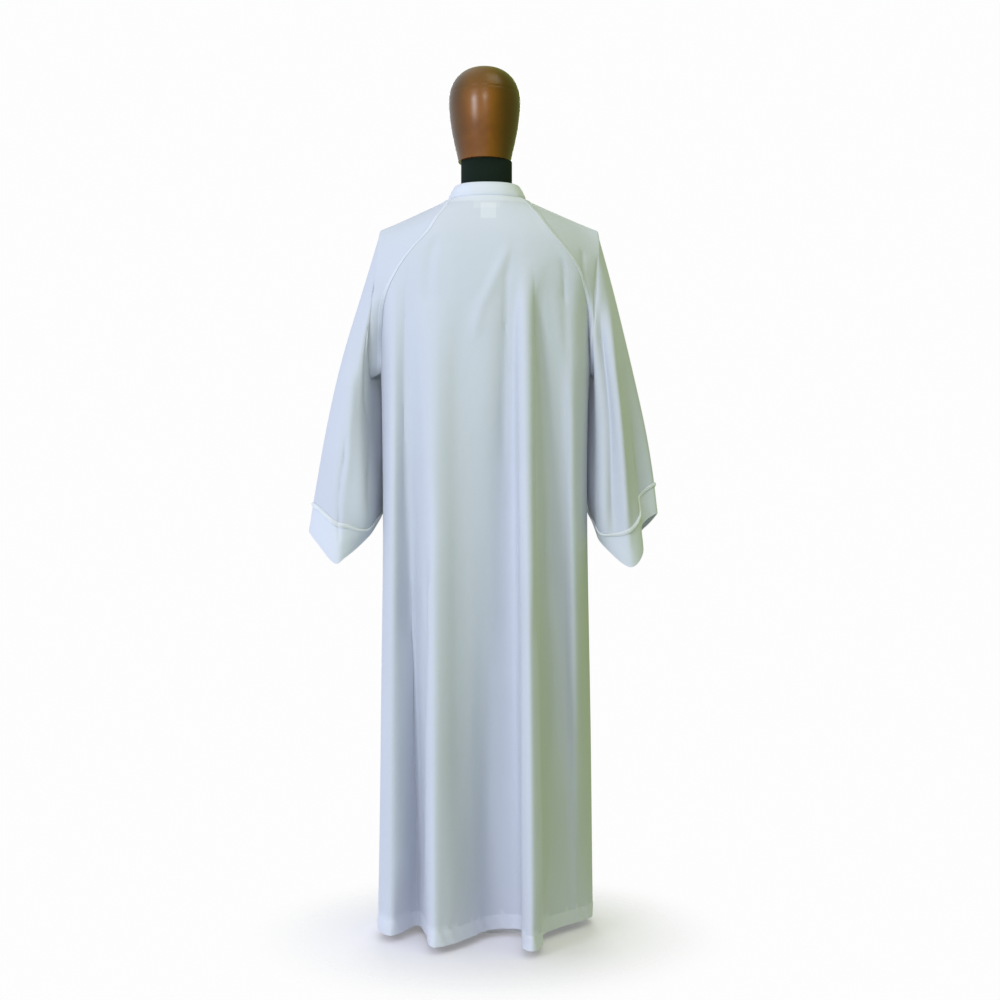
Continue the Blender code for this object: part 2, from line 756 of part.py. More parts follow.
def build_head(material, parts):
    """The egg-shaped head, turned from its profile and a little deeper than wide."""
    data = bpy.data.meshes.new("head")
    bottom = NECK_TOP_LEVEL + SEAM_GAP
    heights = [height for height, radius in HEAD_PROFILE]
    radii = [radius for height, radius in HEAD_PROFILE]
    keys = list(range(len(heights)))
    points = [(0.0, 0.0, bottom)]
    steps = 2 * (len(heights) - 1)
    for i in range(steps + 1):
        radius = max(0.0, smooth(keys, radii, i / 2)) * MM
        points.append((radius, 0.0, bottom + smooth(keys, heights, i / 2) * MM))
    points.reverse()
    edges = [(i, i + 1) for i in range(len(points) - 1)]
    data.from_pydata(points, edges, [])
    head = add_object("head", data, material, parts)
    screw = head.modifiers.new("Turn", "SCREW")
    screw.steps = HEAD_COLUMNS
    screw.render_steps = HEAD_COLUMNS
    screw.use_merge_vertices = True
    screw.merge_threshold = 0.0001
    screw.use_smooth_shade = True
    head.scale = (1.0, HEAD_DEPTH, 1.0)
    head.location.x = HEAD_X
    return head


def build_pole(material, parts):
    """The stand's pole, from the foot up to the form's underside."""
    low = FOOT_HEIGHT + SEAM_GAP
    high = FORM_PLAN[0][0] * MM - SEAM_GAP
    bpy.ops.mesh.primitive_cylinder_add(vertices=POLE_COLUMNS, radius=POLE_RADIUS, depth=high - low,
                                        location=(0, 0, (low + high) / 2))
    pole = bpy.context.object
    pole.name = "pole"
    pole.data.shade_smooth()
    pole.data.set_sharp_from_angle(angle=math.radians(FORM_SHARP))
    claim_object(pole, material, parts)


def build_foot(material, parts):
    """The stand's flat foot: two skids under the robe's deepest folds and a bar between them."""
    half = SKID_WIDTH / 2
    bar = CROSSBAR_WIDTH / 2
    outline = ((SKID_LEFT_X - half, SKID_BACK_Y), (SKID_LEFT_X + half, SKID_BACK_Y),
               (SKID_LEFT_X + half, -bar), (SKID_RIGHT_X - half, -bar),
               (SKID_RIGHT_X - half, SKID_BACK_Y), (SKID_RIGHT_X + half, SKID_BACK_Y),
               (SKID_RIGHT_X + half, SKID_FRONT_Y), (SKID_RIGHT_X - half, SKID_FRONT_Y),
               (SKID_RIGHT_X - half, bar), (SKID_LEFT_X + half, bar),
               (SKID_LEFT_X + half, SKID_FRONT_Y), (SKID_LEFT_X - half, SKID_FRONT_Y))
    curve = bpy.data.curves.new("foot outline", "CURVE")
    curve.dimensions = "2D"
    curve.fill_mode = "BOTH"
    curve.extrude = FOOT_HEIGHT / 2
    spline = curve.splines.new("POLY")
    spline.points.add(len(outline) - 1)
    for point, (x, y) in zip(spline.points, outline):
        point.co = (x, y, 0.0, 1.0)
    spline.use_cyclic_u = True
    guide = bpy.data.objects.new("foot outline", curve)
    bpy.context.scene.collection.objects.link(guide)
    bpy.context.view_layer.update()
    data = bpy.data.meshes.new_from_object(guide.evaluated_get(
        bpy.context.evaluated_depsgraph_get()))
    mesh = bmesh.new()
    mesh.from_mesh(data)
    bmesh.ops.remove_doubles(mesh, verts=mesh.verts, dist=0.00001)
    bmesh.ops.translate(mesh, verts=mesh.verts, vec=(0, 0, FOOT_HEIGHT / 2))
    bmesh.ops.recalc_face_normals(mesh, faces=mesh.faces)
    mesh.to_mesh(data)
    mesh.free()
    bpy.data.objects.remove(guide)
    add_object("foot", data, material, parts)


def main():
    """Clear the scene and build the robe and its form."""
    for item in list(bpy.data.objects):
        bpy.data.objects.remove(item)
    parts = bpy.data.collections.new("alb robe on dress form")
    bpy.context.scene.collection.children.link(parts)
    cloth = plain_material("white cloth", (0.80, 0.84, 0.90), 0.75)
    band_cloth = plain_material("white doubled cloth", (0.86, 0.89, 0.94), 0.75)
    braid = plain_material("white braid", (0.90, 0.91, 0.95), 0.6)
    label = plain_material("blank label", (0.93, 0.94, 0.96), 0.5)
    head_leather = plain_material("brown head", (0.17, 0.055, 0.018), 0.35)
    dark_fabric = plain_material("dark form fabric", (0.012, 0.022, 0.022), 0.8)
    paint = plain_material("stand paint", (0.80, 0.81, 0.80), 0.45)
    pieces = build_robe(cloth, band_cloth, braid, label, parts)
    build_torso(pieces, dark_fabric, parts)
    build_neck(dark_fabric, parts)
    build_head(head_leather, parts)
    build_pole(paint, parts)
    build_foot(paint, parts)


main()
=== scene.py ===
"""The looks of the alb on its dress form.

Metres, +Z up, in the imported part's own frame. The robe's back faces -Y, towards the camera.
Each cloth piece follows the part's own lines on a finer grid, with creases, double cloth,
stitching and weave added, and takes the place of its plain solid.
"""
import math
from bisect import bisect_left

import bpy
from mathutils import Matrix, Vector, noise


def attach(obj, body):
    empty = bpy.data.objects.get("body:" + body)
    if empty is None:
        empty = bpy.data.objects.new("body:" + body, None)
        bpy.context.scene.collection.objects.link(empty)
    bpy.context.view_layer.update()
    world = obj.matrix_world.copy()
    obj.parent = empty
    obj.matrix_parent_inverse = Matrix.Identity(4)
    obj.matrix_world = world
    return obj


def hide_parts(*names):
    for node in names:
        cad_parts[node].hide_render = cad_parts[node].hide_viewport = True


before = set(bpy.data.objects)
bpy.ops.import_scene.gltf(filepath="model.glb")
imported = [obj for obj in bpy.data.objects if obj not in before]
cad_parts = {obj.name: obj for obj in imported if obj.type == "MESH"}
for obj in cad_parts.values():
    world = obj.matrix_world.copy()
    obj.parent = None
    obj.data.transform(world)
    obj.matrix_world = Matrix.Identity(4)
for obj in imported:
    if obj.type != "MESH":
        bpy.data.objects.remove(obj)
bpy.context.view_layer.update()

MM = 0.001

# Cloth walls
CLOTH = 1.6 * MM
HEM_CLOTH = 2.6 * MM
COLLAR_CLOTH = 2.4 * MM
CUFF_CLOTH = 2.0 * MM
SEAM_GAP = 0.3 * MM
SEAM_STRIP = 11 * MM
SEAM_STEP = 1.5 * MM
SEAM_RAISE = 0.8 * MM
STRIP_SHARE = 0.42
STEP_SHARE = 0.5
SHARP_ANGLE = 50

# Heights of the robe's main lines
NECK_LEVEL = 1516 * MM
UNDERARM_LEVEL = 1160 * MM
HEM_TOP_LEVEL = 46 * MM
HEM_LEVEL = 16 * MM
FRONT_NECK_DIP = 20 * MM
NECK_DIP_ENDS = 1400 * MM

# Grid sizes
COLUMNS_PER_FOLD = 8
NECK_EDGE_COLUMNS = 8
NECK_ROW_LEVELS = (1516, 1513, 1509, 1505, 1501, 1496, 1492, 1487, 1482, 1475, 1467)
HEM_ROW_LEVELS = (46, 45, 43.5, 40, 33, 26, 21, 17.5, 16)
YOKE_ROWS = 50
SKIRT_ROWS = 84
HEM_ROW = YOKE_ROWS + SKIRT_ROWS
PANELS = {
    # panel: first and last fold angle, and the middle from which its columns are measured
    "back_panel": (-90, 90, 0),
    "front_left": (-180, -90, -180),
    "front_right": (90, 180, 180),
}
SIDES = ("left", "right")

# Plan of the body at each level, before the folds: how far it reaches to each side, in mm
BODY_PLAN = (
    # level, left, right, back, front
    (16, -222, 210, 128, 126),
    (1160, -222, 210, 128, 126),
    (1300, -225, 217, 127, 127),
    (1350, -228, 228, 125, 122),
    (1400, -231, 235, 119, 112),
    (1444, -227, 233, 109, 98),
    (1469, -202, 205, 99, 88),
    (1494, -139, 140, 90, 80),
    (1516, -82, 78, 72, 66),
)
PLAN_ROUNDNESS = 2.3

# Where the raglan seam crosses the body's plan
RAGLAN = (
    # level in mm, share of the plan's half width
    (1160, 1.0),
    (1250, 0.978),
    (1299, 0.942),
    (1320, 0.905),
    (1367, 0.785),
    (1408, 0.645),
    (1448, 0.505),
    (1469, 0.50),
    (1494, 0.60),
    (1516, 0.80),
)

# Fold lines of the skirt, from centre front round the left side and the back
FOLDS = (
    # name, degrees from centre back, level where it leaves the plan, hem x, hem y, bow, in mm
    ("centre front", -180, 1250, -3, 165, 0),
    ("front valley left", -163, 1300, -48, 120, 0),
    ("front crest left inner", -150, 1340, -84, 197, 0),
    ("front crest left outer", -137, 1340, -124, 172, 0),
    ("front side valley left", -122, 1300, -163, 88, 0),
    ("front side crest left", -106, 1200, -212, 98, 0),
    ("left side seam", -90, 1160, -216, 10, 0),
    ("left outline", -69, 1200, -224, -61, 0),
    ("first crest", -57, 1330, -193, -101, 0),
    ("first valley", -46, 1400, -144, -23, 6),
    ("second crest left", -26.5, 1300, -106, -185, 0),
    ("second crest right", -18, 1320, -79, -171, 0),
    ("long slope", -7, 1320, -31, -106, 0),
    ("wide valley left", 2, 1250, 9, -54, 0),
    ("wide valley right", 12.5, 1330, 66, -54, 6),
    ("third crest left", 17, 1380, 70, -190, 0),
    ("third crest", 20.5, 1385, 88, -213, 0),
    ("third crest right", 23.5, 1385, 107, -180, 0),
    ("dark wall", 28, 1385, 114, -91, 8),
    ("right wall", 43, 1380, 165, -20, 0),
    ("right ridge", 53, 1330, 187, 2, -26),
    ("right outline", 76, 1180, 221, 52, 0),
    ("right side seam", 90, 1160, 217, 92, 0),
    ("front side crest right", 107, 1200, 200, 140, 0),
    ("front side valley right", 122, 1300, 162, 92, 0),
    ("front crest right outer", 137, 1340, 128, 172, 0),
    ("front crest right inner", 150, 1340, 88, 198, 0),
    ("front valley right", 163, 1300, 42, 122, 0),
    ("centre front", 180, 1250, -3, 165, 0),
)

# Fold lines of each sleeve, round its tube, with places in mm
LEFT_SLEEVE = (
    # name, share of the way round from the overarm, armhole fold, elbow, cuff seam, cuff edge
    ("outer", 0.0, (-223, 0, 1456), (-307, 5, 1170), (-364, 5, 891), (-374, 5, 831)),
    ("slope", 0.10, (-225, -17, 1434), (-304, -24, 1158), (-345, -30, 880), (-352, -32, 806)),
    ("edge", 0.20, (-227, -34, 1392), (-290, -52, 1125), (-312, -64, 853), (-313, -68, 766)),
    ("ridge", 0.30, (-235, -46, 1330), (-272, -60, 1098), (-288, -67, 846), (-290, -64, 778)),
    ("inner", 0.42, (-247, -40, 1212), (-250, -40, 1062), (-246, -42, 836), (-252, -16, 812)),
    ("underarm", 0.50, (-243, -2, 1148), (-236, 6, 1040), (-232, 6, 856), (-240, 26, 830)),
    ("under", 0.58, (-229, 38, 1202), (-216, 60, 1048), (-220, 66, 880), (-227, 86, 862)),
    ("front", 0.70, (-242, 48, 1325), (-268, 74, 1095), (-285, 88, 878), (-292, 100, 806)),
    ("front slope", 0.86, (-228, 26, 1416), (-300, 48, 1145), (-340, 54, 886), (-346, 58, 820)),
)
RIGHT_SLEEVE = (
    # name, share, armhole fold, elbow, cuff seam, cuff edge
    ("outer", 0.0, (227, 0, 1455), (301, 5, 1170), (345, 5, 932), (353, 5, 868)),
    ("slope", 0.10, (229, -17, 1432), (290, -20, 1150), (314, -12, 906), (320, -12, 842)),
    ("edge", 0.20, (228, -35, 1390), (276, -46, 1120), (311, -46, 864), (319, -50, 786)),
    ("ridge", 0.30, (223, -47, 1326), (253, -62, 1096), (285, -68, 836), (290, -72, 758)),
    ("inner", 0.42, (218, -42, 1212), (226, -42, 1058), (233, -48, 828), (234, -28, 806)),
    ("underarm", 0.50, (221, -2, 1150), (219, 6, 1040), (222, 10, 852), (227, 26, 826)),
    ("under", 0.58, (217, 39, 1202), (207, 62, 1048), (212, 70, 880), (219, 88, 862)),
    ("front", 0.70, (229, 48, 1325), (254, 76, 1095), (276, 88, 878), (284, 100, 806)),
    ("front slope", 0.86, (230, 26, 1416), (292, 48, 1145), (326, 54, 908), (332, 58, 838)),
)

# Lines down a sleeve, the lapped seam at its armhole, and the rows between
SLEEVE_RUN = (0.0, 0.128, 0.135, 0.149, 0.40, 0.68, 0.75)
FOLD_BEFORE = 0.95
FOLD_AFTER = 0.05
NECK_CORNER_SHARE = 0.07
ARMHOLE_ROWS = 16
SLEEVE_CORNER_ROWS = (0.1305, 0.133, 0.135, 0.137, 0.140, 0.144, 0.149, 0.156)
SLEEVE_END = 0.68
SLEEVE_BELOW = 60
SEAM_STRIP_ROWS = (1, 2, 3, 4)
NECK_STRIP_ROW = 3
SEAM_STRIP_SHARES = (0.08, 0.45, 0.85, 1.0)
UNLAPPED_COLUMNS = 24
CUFF_ROWS = (0.68, 0.684, 0.6875, 0.690, 0.695, 0.702, 0.709, 0.716, 0.723, 0.730, 0.737,
             0.742, 0.746, 0.75)

# Standing collar
COLLAR_RISE = 30 * MM
COLLAR_BULGE = 3 * MM
COLLAR_ROWS = (0.0, 0.04, 0.15, 0.27, 0.33, 0.38, 0.5, 0.62, 0.74, 0.84, 0.92, 0.97, 1.0)
COLLAR_STITCH_ROWS = (3, 9)

# Collar's outer side at each row, and its top's reach left, right, back and front, in mm
COLLAR_OUTER = (-1.8, -0.4, 0.3, 0.0, 0.0, 0.0, 0.0, -0.5, -0.2, 0.7, 0.8, 0.5, 0.0)
COLLAR_PLAN = (-67, 64, 63, 60)

# Labels inside the back of the neck
LABEL_THICK = 1.0 * MM
LABELS = {
    # label: first and last row, first and last column, on the back panel's grid
    "neck_label": ((3, 7), (40, 72)),
    "care_tag": ((7, 10), (48, 60)),
}

# Dress form's head
HEAD_X = -7 * MM
NECK_TOP_LEVEL = 1597 * MM
HEAD_PROFILE = (
    # height above the neck's top, radius, in mm
    (0, 54.5), (14, 57.5), (40, 63.5), (70, 69.5), (98, 73), (122, 74.4),
    (146, 72), (166, 63.5), (181, 50), (190, 35), (195, 17), (197, 0),
)
HEAD_DEPTH = 1.14
HEAD_COLUMNS = 96
HEAD_RINGS = 132
HEAD_SEAM_DEPTH = 0.5 * MM
HEAD_SEAM_WIDTH = 1.6 * MM
CROWN_SEAM = 1737 * MM

# Creases of the cloth as seen from behind, in mm; one with a height below 0 is a trough
BACK_CREASES = (
    # name, form, height, width, points across and up
    ("left edge trough", "sharp", -4, 8,
     ((-159, 1396), (-167, 1296), (-169, 1176), (-169, 995), (-167, 775))),
    ("left blade", "soft", 2.5, 14, ((-139, 1372), (-135, 1236), (-127, 1055), (-115, 855))),
    ("long trough", "soft", -4.5, 22, ((-49, 1371), (-57, 1295), (-65, 1095), (-63, 695), (-59, 96))),
    ("slant ridge", "soft", 3, 11, ((45, 1420), (31, 1376), (9, 1328), (-15, 1272), (-27, 1206))),
    ("slant trough", "sharp", -5, 9, ((55, 1416), (43, 1372), (37, 1260), (33, 1095), (33, 935))),
    ("crest start", "soft", 7, 15, ((72, 1395), (75, 1295), (78, 1095), (82, 855), (88, 600))),
    ("dark trough", "soft", -7, 12, ((96, 1392), (103, 1296), (120, 1095), (129, 895), (138, 560))),
    ("low dark trough", "soft", -6, 13, ((126, 945), (131, 800), (137, 560), (140, 300))),
    ("third crest ridge", "sharp", 8, 9, ((101, 760), (103, 500), (104, 300), (103, 20))),
    ("dark wall", "sharp", -5, 11, ((90, 1392), (97, 1296), (110, 1095), (118, 895), (126, 560))),
    ("low left fill", "soft", 10, 18, ((-158, 700), (-164, 500), (-170, 240), (-172, 30))),
    ("low left edge", "sharp", -10, 8, ((-119, 855), (-122, 700), (-126, 499), (-131, 240), (-135, 30))),
    ("short trough", "sharp", -4, 7, ((151, 1396), (155, 1346), (157, 1286))),
    ("right blade", "soft", 3, 12, ((131, 1372), (145, 1236), (165, 1095), (169, 855))),
    ("second crest edge", "sharp", 6, 8, ((-112, 855), (-114, 776), (-119, 499), (-123, 240), (-127, 48))),
    ("third crest edge", "sharp", 3, 6, ((62, 619), (64, 500), (66, 303), (66, 47))),
    ("middle swell", "soft", 3, 26, ((-3, 1236), (-5, 1035), (-3, 775), (1, 494))),
    ("left yoke dip", "soft", -2.5, 10, ((-102, 1436), (-116, 1375), (-120, 1278))),
)
SLEEVE_CREASES = (
    # name, form, height, width, points across and up
    ("left fold line", "sharp", -7, 7,
     ((-240, 1290), (-249, 1163), (-249, 1098), (-243, 1042), (-241, 981), (-245, 854))),
    ("left drape", "sharp", -4, 6, ((-249, 1143), (-239, 1150), (-227, 1156), (-213, 1158))),
    ("left swell", "soft", 4, 11, ((-229, 1141), (-225, 1100), (-221, 1049), (-219, 956))),
    ("left arm dip", "soft", -4, 16, ((-238, 1384), (-257, 1306), (-273, 1213), (-283, 1121))),
    ("left arm ridge", "soft", 3, 10, ((-279, 1183), (-279, 1100), (-283, 998), (-289, 895))),
    ("left cuff trough", "sharp", -6, 7,
     ((-287, 1038), (-292, 997), (-294, 981), (-304, 926), (-306, 850), (-302, 793))),
    ("right sliver line", "sharp", -4, 6, ((228, 1407), (224, 1356), (220, 1305), (218, 1233))),
    ("right yoke trough", "sharp", -4, 7, ((195, 1413), (195, 1372), (198, 1325))),
    ("right arm ridge", "soft", 9, 10, ((244, 1330), (252, 1200), (267, 1061), (281, 874), (289, 760))),
    ("right inner dip", "soft", -15, 13, ((231, 1330), (237, 1220), (247, 1061), (254, 874), (258, 770))),
    ("right inner crest", "soft", 7, 9, ((213, 1330), (215, 1200), (216, 1061), (219, 874), (222, 800))),
    ("right outer dip", "soft", -4, 12, ((276, 1183), (292, 1059), (304, 957), (315, 864))),
)

# Hanging detail of the cloth
CREASE_REACH = 3.2
CREASE_EDGE = 1.6
CREASE_FADE = 0.22
CREASE_FACING = 0.45
SEAM_CALM = 26 * MM
WAVE_HEIGHT = 2.2 * MM
WAVE_ACROSS = 14.0
WAVE_DOWN = 2.2
PUCKER_REACH = 22 * MM
PUCKER_HEIGHT = 1.8 * MM
PUCKER_PITCH = 4.6 * MM
PUCKER_LEAN = 0.35
PUCKER_SLANT = 120.0
PUCKER_CHANGE = 30.0
STITCH_GROOVE = 0.7 * MM
STITCH_GROOVE_WIDTH = 2.2 * MM

# Stitching and braid
SEAM_STITCH_ROWS = (3, 1)
FRONT_EDGE_COLUMN = 1
CUFF_STITCH_ROW = 11
STITCH_LIFT = 0.1 * MM
STITCH_SIZES = {"Pitch": 3.4 * MM, "Length": 2.6 * MM, "Thickness": 0.55 * MM}
STITCH_BEAD = {"Segments": 6, "Rings": 4, "Radius": 0.5}
STITCH_CHANGE = (0.85, 1.08)
BRAID_THICK = 0.9 * MM
BRAID_LOW_ROW = 2
PLAIT_STRANDS = 3
PLAIT_SIDES = 6
PLAIT_LIFT = 1.9 * MM
PLAIT_RADIUS = 1.0 * MM
PLAIT_RISE = 0.7 * MM
PLAIT_SWING = 0.36
PLAIT_PITCH = 11 * MM
PLAIT_STEPS = 12
PLAIT_LOW_ROW = 3

# Cloth finish: colours are linear, scales are in turns a metre
CLOTH_TONE = (0.57, 0.60, 0.68)
DOUBLED_TONE = (0.635, 0.665, 0.745)
THREAD_PITCH = 0.7 * MM
CREPE_SCALE = 1500.0
SLUB_ACROSS = 900.0
SLUB_DOWN = 60.0
CLOUD_SCALE = 5.0
SOFT_SCALE = 45.0
SOFT_DEPTH = 1.2 * MM
SOFT_STRENGTH = 0.6
WEAVE_DEPTH = 0.25 * MM
WEAVE_STRENGTH = 0.55
CLOUD_TURN = (0.3, 0.7)
CLOUD_TONE = 0.965
THREAD_SHADE = 0.90
GRAIN_SHADE = 0.35
SLUB_SHADE = 0.25
DOUBLED_SHARE = 0.85
MESH_RELIEF = 0.35
GRAIN_RELIEF = 0.45
SLUB_RELIEF = 0.2
CREPE_ROUGH = 0.78
GRAIN_POLISH = 0.12
SHEEN = 0.25
SHEEN_SPREAD = 0.45

# What shows faintly through the cloth, painted into its colour: painted shade over the form below its
# edge, and painted light over the labels
FORM_SEEN_THROUGH_SHADE = (0.42, 0.50, 0.48)
FORM_SEEN_THROUGH_SHADE_SHARE = 0.05
FORM_EDGE = 968 * MM
FORM_EDGE_BLUR = 4 * MM
FORM_SIDE = (155 * MM, 175 * MM)
FORM_TOP = (1380 * MM, 1500 * MM)
FORM_BACK = -20 * MM
# Painted light where a label shows through the cloth
LABEL_SEEN_THROUGH_LIGHT = (0.88, 0.89, 0.91)
LABEL_BLUR = 0.8 * MM
LABEL_BOXES = (
    # left, right, low, high, in mm, and the share of painted light where each label shows through
    (-29, 25, 1486, 1503, 0.10),
    (-14, 17, 1464, 1498, 0.20),
)

# Thread, braid and label finishes
THREAD_TONE = (0.72, 0.75, 0.80)
THREAD_TWIST = 0.9 * MM
BRAID_TONE = (0.78, 0.81, 0.85)
BRAID_TWIST = 1.1 * MM
TWIST_DEPTH = 0.15 * MM
TWIST_SHADE = 0.82
THREAD_SHEEN = 0.3
FLUFF_SCALE = 2500.0
SATIN_LIGHT = (0.80, 0.82, 0.84)
SATIN_DARK = (0.70, 0.72, 0.75)
SATIN_RIB = 0.5 * MM
SATIN_DEPTH = 0.08 * MM
SATIN_SCALE = 1800.0
SATIN_ROUGH = 0.35
THREAD_ROUGH = 0.55

# Head finish
HEAD_DARK_PATCH = (0.19, 0.062, 0.005)
HEAD_LIGHT_PATCH = (0.27, 0.097, 0.009)
# Painted shade that darkens both sides of the head, and where it spans
HEAD_SIDE_PAINTED_SHADE = (0.055, 0.028, 0.002)
CROWN_TONE = (0.18, 0.078, 0.001)
PORE_TONE = (0.055, 0.017, 0.006)
PORE_SHARE = 0.4
KNIT_TONE = (0.06, 0.024, 0.002)
KNIT_SHARE = 0.35
RIB_SHARE = 0.4
RIGHT_SIDE_SHADE_SHARE = 0.85
LEFT_SIDE_SHADE_SHARE = 0.75
HEAD_ROUGH = 0.2
HEAD_GLOSS = 0.35
CROWN_BAND = (1711 * MM, 1761 * MM)
HEAD_RIGHT_SHADE_SPAN = (6 * MM, 48 * MM)
HEAD_LEFT_SHADE_SPAN = (24 * MM, 60 * MM)
CROWN_RIBS = 96.0
KNIT_PITCH = 2.6 * MM
KNIT_DEPTH = 0.4 * MM
PATCH_SCALE = 16.0
GRAIN_SCALE = 620.0
PORE_SCALE = 700.0
GRAIN_DEPTH = 0.12 * MM

# Finishes of the form and of its stand
JERSEY_TONE = (0.004, 0.009, 0.006)
JERSEY_WALES = 300.0
JERSEY_COURSE = 1.1 * MM
JERSEY_SCALE = 900.0
JERSEY_DEPTH = 0.2 * MM
JERSEY_ROUGH = 0.9
JERSEY_GLOSS = 0.2
JERSEY_LIGHT = 2.1
PAINT_DARK = (0.78, 0.79, 0.78)
PAINT_LIGHT = (0.84, 0.845, 0.84)
PAINT_SCALE = 420.0
PAINT_DEPTH = 0.1 * MM
PAINT_ROUGH = 0.38
SCUFF_TONE = (0.55, 0.55, 0.54)
SCUFF_TOP = 60 * MM
SCUFF_ACROSS = 60.0
SCUFF_DOWN = 400.0

# Flat cuts in metres, and what each sheet rests on
CLOTH_NAMES = ("back_panel", "front_left", "front_right", "sleeve_left", "sleeve_right")
RESTS_ON = {name: ["torso"] for name in CLOTH_NAMES}
RESTS_ON["collar"] = ["cloth_back_panel"]
RESTS_ON["cuff_left"] = ["cloth_sleeve_left"]
RESTS_ON["cuff_right"] = ["cloth_sleeve_right"]

# Camera, floor and light, in metres and watts
CAMERA_PLACE = (0.025, -3.3, 0.895)
CAMERA_LENS = 57.1
FLOOR_RADIUS = 1.2
FLOOR_SIDES = 96
FLOOR_TONE = (0.63, 0.60, 0.66)
FLOOR_GLOW = 0.2
FLOOR_ROUGH = 0.8
FLOOR_FADE = (0.18, 0.52)
WORLD_SEEN = (0.985, 0.985, 0.985)
WORLD_BRIGHT_SIDE = (-0.97, -0.22, 0.05)
WORLD_TURN = (-0.35, 0.4)
WORLD_BRIGHT = (0.78, 0.84, 0.96)
WORLD_DIM = (0.33, 0.43, 0.14)
LIGHTS = (
    # name, place, size, power, colour
    ("key light", (-2.4, -3.3, 2.1), 1.0, 60.0, (0.87, 0.92, 1.0)),
    ("top light", (0.9, -0.8, 3.5), 1.4, 14.0, (1.0, 0.94, 0.80)),
    ("head light", (0.1, -3.0, 2.25), 0.4, 12.0, (1.0, 0.98, 0.95)),
    ("front light", (0.0, 3.6, 2.2), 1.6, 45.0, (1.0, 0.98, 0.96)),
)
LIGHT_AIM = Vector((0.0, 0.0, 0.85))


def ease(share):
    """Smooth step from 0 to 1."""
    share = min(max(share, 0.0), 1.0)
    return share * share * (3.0 - 2.0 * share)


def tangent(keys, values, i):
    """Slope of the smooth curve at its point i."""
    first = max(i - 1, 0)
    last = min(i + 1, len(keys) - 1)
    if last - first == 1:
        return (values[last] - values[first]) / (keys[last] - keys[first])
    before = keys[i] - keys[first]
    after = keys[last] - keys[i]
    slope_before = (values[i] - values[first]) / before
    slope_after = (values[last] - values[i]) / after
    return (slope_before * after + slope_after * before) / (before + after)


def space(keys, at):
    """Which of the spaces between rising keys a place lies in."""
    return bisect_left(keys, at, 1, len(keys) - 1) - 1


def smooth(keys, values, at):
    """Value at a place on the smooth curve that passes through the values at their rising keys."""
    i = space(keys, at)
    step = keys[i + 1] - keys[i]
    u = (at - keys[i]) / step
    start = values[i] * (1 - 3 * u * u + 2 * u ** 3)
    end = values[i + 1] * (3 * u * u - 2 * u ** 3)
    leave = tangent(keys, values, i) * (step * (u - 2 * u * u + u ** 3))
    arrive = tangent(keys, values, i + 1) * (step * (u ** 3 - u * u))
    return start + end + leave + arrive


def straight(keys, values, at):
    """Value at a place on the straight runs between the values at their rising keys."""
    i = space(keys, at)
    u = (at - keys[i]) / (keys[i + 1] - keys[i])
    return values[i] + (values[i + 1] - values[i]) * u


def running(points):
    """Running length along a line of points."""
    runs = [0.0]
    for a, b in zip(points, points[1:]):
        runs.append(runs[-1] + (b - a).length)
    return runs


def column(table, index):
    """One column of a table."""
    return [row[index] for row in table]


def plan_at(level):
    """Left, right, back and front reach of the body's plan at a level, in metres."""
    keys = [key * MM for key in column(BODY_PLAN, 0)]
    return [smooth(keys, column(BODY_PLAN, i), level) * MM for i in range(1, 5)]


def bent(value, power):
    """A power that keeps the sign."""
    return math.copysign(abs(value) ** power, value)


def oval(plan, angle, roundness=PLAN_ROUNDNESS):
    """Point of a plan's rounded oval at an angle in degrees from centre back."""
    left, right, back, front = plan
    middle = (left + right) / 2
    half = (right - left) / 2
    power = 2.0 / roundness
    across = bent(math.sin(math.radians(angle)), power)
    along = bent(math.cos(math.radians(angle)), power)
    depth = back if along > 0 else front
    return middle + half * across, -depth * along


def neck_dip(angle, level):
    """How far the front of the neck dips below its level."""
    share = max(0.0, -math.cos(math.radians(angle)))
    fade = ease((level - NECK_DIP_ENDS) / (NECK_LEVEL - NECK_DIP_ENDS))
    return FRONT_NECK_DIP * share * fade


def fold_point(fold, level):
    """Where a fold line crosses a level."""
    angle, start, hem_x, hem_y, bow = fold[1:]
    x, y = oval(plan_at(level), angle)
    start_level = start * MM
    share = max(0.0, (start_level - level) / (start_level - HEM_LEVEL))
    x += (hem_x * MM - x) * share
    y += (hem_y * MM - y) * share + bow * MM * 4 * share * (1 - share)
    return Vector((x, y, level - neck_dip(angle, level)))


class BodyRing:
    """The body's closed outline at one level, through every fold line."""

    def __init__(self, level):
        points = [fold_point(fold, level) for fold in FOLDS]
        lengths = [math.sqrt((b - a).length) for a, b in zip(points, points[1:])]
        self.points = [points[-2]] + points + [points[1]]
        self.keys = [0.0]
        for length in [lengths[-1]] + lengths + [lengths[0]]:
            self.keys.append(self.keys[-1] + length)

    def at(self, angle):
        """Point on the outline at an angle in degrees from centre back."""
        angles = column(FOLDS, 1)
        place = straight(angles, list(range(1, len(angles) + 1)), angle)
        i = min(int(place), len(angles) - 1)
        key = self.keys[i] + (self.keys[i + 1] - self.keys[i]) * (place - i)
        return smooth(self.keys, self.points, key)


def panel_angle(angle, level):
    """Angle at a level of a column that reaches the underarm at an angle from centre.

    Above the underarm the columns keep their share of the width between the raglan seams.
    """
    if level <= UNDERARM_LEVEL:
        return angle
    reach = smooth([key * MM for key in column(RAGLAN, 0)], column(RAGLAN, 1), level)
    share = min(1.0, reach) ** (PLAN_ROUNDNESS / 2) * math.sin(math.radians(angle))
    return math.degrees(math.asin(share))


def fold_angles(first, last):
    """Angles of a panel's columns, so many to each space between two fold lines."""
    stops = [angle for angle in column(FOLDS, 1) if first <= angle <= last]
    angles = [stops[0]]
    for a, b in zip(stops, stops[1:]):
        angles += [a + (b - a) * i / COLUMNS_PER_FOLD for i in range(1, COLUMNS_PER_FOLD + 1)]
    return angles


